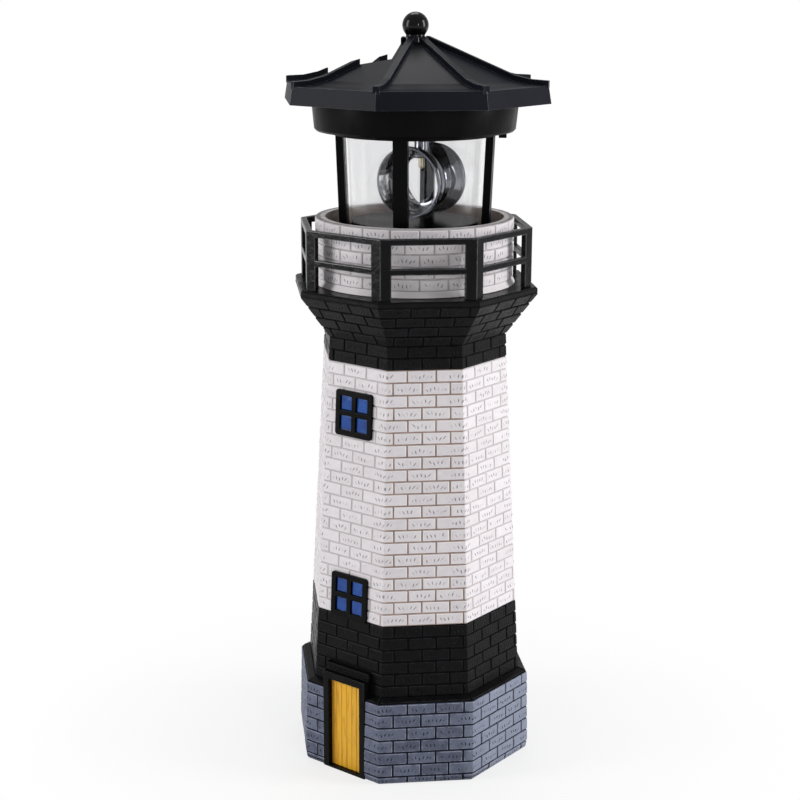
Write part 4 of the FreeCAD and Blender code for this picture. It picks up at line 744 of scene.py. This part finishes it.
# The hollow shaft, with a swelling where it meets the bowls
shaft_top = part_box("beacon_reflector")[1][2] / MM
shaft = spun([(2.3, 293.4), (4.2, 293.4), (4.6, 294.1), (4.6, 295.2), (4.1, 296.0), (3.6, 296.3),
              (3.5, 297.0), (3.5, shaft_top - 0.2), (3.3, shaft_top), (2.3, shaft_top)], 48)
bmesh.ops.translate(shaft, verts=shaft.verts, vec=(BEACON_MIDDLE.x, BEACON_MIDDLE.y, 0))
finished(shaft, "reflector_shaft", "beacon", [chrome], 40)


# ---------------------------------------------------------------- rounded copies of solids

softened("railing_bars", "gallery_railing", 0.45, edge_finish=railing_edge_painted_highlight)
for level in ("lower", "upper"):
    softened(f"{level}_window_surround", f"{level}_window_frame", 0.55)
for level in ("lower", "upper"):
    softened(f"{level}_window_glass", f"{level}_window_panes", 0.5, segments=3)
softened("door_surround", "door_frame", 0.3)
softened("door_boards", "door_leaf", 0.14)
softened("roof_cover", "roof_shell", 0.4, smooth=12, edge_finish=roof_edge_painted_highlight)
softened("housing_cup", "head_housing", 0.25)
softened("cage_posts", "lantern_cage", 0.35)


# ---------------------------------------------------------------- set

# The photograph's camera, solved from the octagon's corners
CAMERA_TURN = math.radians(38.016)
CAMERA_REACH = 786.0
CAMERA_HEIGHT = 377.2
CAMERA_YAW = math.radians(-0.481)
CAMERA_PITCH = math.radians(14.369)
CAMERA_ROLL = math.radians(0.176)
camera = bpy.data.cameras.new("picture")
camera.lens = 75.05
camera.sensor_width = 36
viewer = placed("picture", camera)
viewer.matrix_world = (Matrix.Translation((CAMERA_REACH * MM * math.sin(CAMERA_TURN),
                                           -CAMERA_REACH * MM * math.cos(CAMERA_TURN), CAMERA_HEIGHT * MM))
                       @ Matrix.Rotation(CAMERA_TURN - CAMERA_YAW, 4, "Z")
                       @ Matrix.Rotation(math.pi / 2 - CAMERA_PITCH, 4, "X")
                       @ Matrix.Rotation(CAMERA_ROLL, 4, "Z"))
bpy.context.scene.camera = viewer

# The lamps are aimed here, in metres
TOWER_MIDDLE = Vector((0, 0, 0.18))


def softbox(name, azimuth, elevation, reach, width, height, watts):
    """An upright lamp in metres, aimed at the middle of the tower; azimuth 0 is in front of the door."""
    lamp = bpy.data.lights.new(name, "AREA")
    lamp.shape = "RECTANGLE"
    lamp.size = width
    lamp.size_y = height
    lamp.energy = watts
    item = placed(name, lamp)
    turn, lift = math.radians(azimuth), math.radians(elevation)
    away = Vector((math.sin(turn) * math.cos(lift), -math.cos(turn) * math.cos(lift), math.sin(lift)))
    item.location = TOWER_MIDDLE + away * reach
    item.rotation_euler = away.to_track_quat("Z", "Y").to_euler()


softbox("left_box", -38, 18, 1.3, 0.45, 1.0, 9.8)
softbox("right_box", 120, 18, 1.4, 0.45, 1.0, 15)
softbox("strip", 64, 12, 1.3, 0.1, 0.4, 2)
softbox("back_box", 225, 62, 1.4, 0.7, 0.7, 5)


def looked_at(tree, in_mirrors):
    """1 where the camera sees a thing straight or through glass, and in_mirrors where it sees it mirrored."""
    ray = node(tree, "ShaderNodeLightPath")
    seen = node(tree, MATH, {0: ray.outputs["Is Camera Ray"], 1: ray.outputs["Is Transmission Ray"]},
                operation="MAXIMUM")
    return node(tree, MATH, {0: ray.outputs["Is Glossy Ray"], 1: in_mirrors, 2: seen},
                operation="MULTIPLY_ADD", use_clamp=True)


# A white backdrop that lights the tower only faintly, and is dimmer in the chrome
world = bpy.data.worlds.new("studio")
world.use_nodes = True
bpy.context.scene.world = world
sky = world.node_tree
lit = node(sky, "ShaderNodeMapRange", {"Value": looked_at(sky, 0.35), "To Min": 0.27, "To Max": 1.0})
wire(sky, sky.nodes["Background"], {"Color": (1, 1, 1, 1), "Strength": lit})
bpy.context.scene.view_settings.view_transform = "Standard"


def white_paper():
    """Matt white paper that fades into the backdrop away from the tower and keeps a faint shadow at it."""
    made = material("matt_white_paper", "f3f3f3", 0.9, 0.0, 1.0, "f1f1f1", 300, Specular_IOR_Level=0.0)
    tree = made.node_tree
    place = node(tree, "ShaderNodeTexCoord").outputs["Object"]
    reach = node(tree, "ShaderNodeVectorMath", {0: place}, operation="LENGTH")
    far = node(tree, "ShaderNodeMapRange", {"Value": reach, "From Min": 0.05, "From Max": 0.2, "To Min": 0.72,
                                            "To Max": 1.0})
    amount = node(tree, MATH, {0: looked_at(tree, 1.0), 1: far}, operation="MULTIPLY")
    glow = node(tree, "ShaderNodeEmission", {"Strength": 1.0})
    blend = node(tree, "ShaderNodeMixShader", {0: amount, 1: tree.nodes["Principled BSDF"], 2: glow})
    wire(tree, tree.nodes["Material Output"], {"Surface": blend})
    return made


paper = bmesh.new()
bmesh.ops.create_grid(paper, x_segments=1, y_segments=1, size=4)
mesh = bpy.data.meshes.new("floor")
paper.to_mesh(mesh)
paper.free()
mesh.materials.append(white_paper())
placed("floor", mesh)
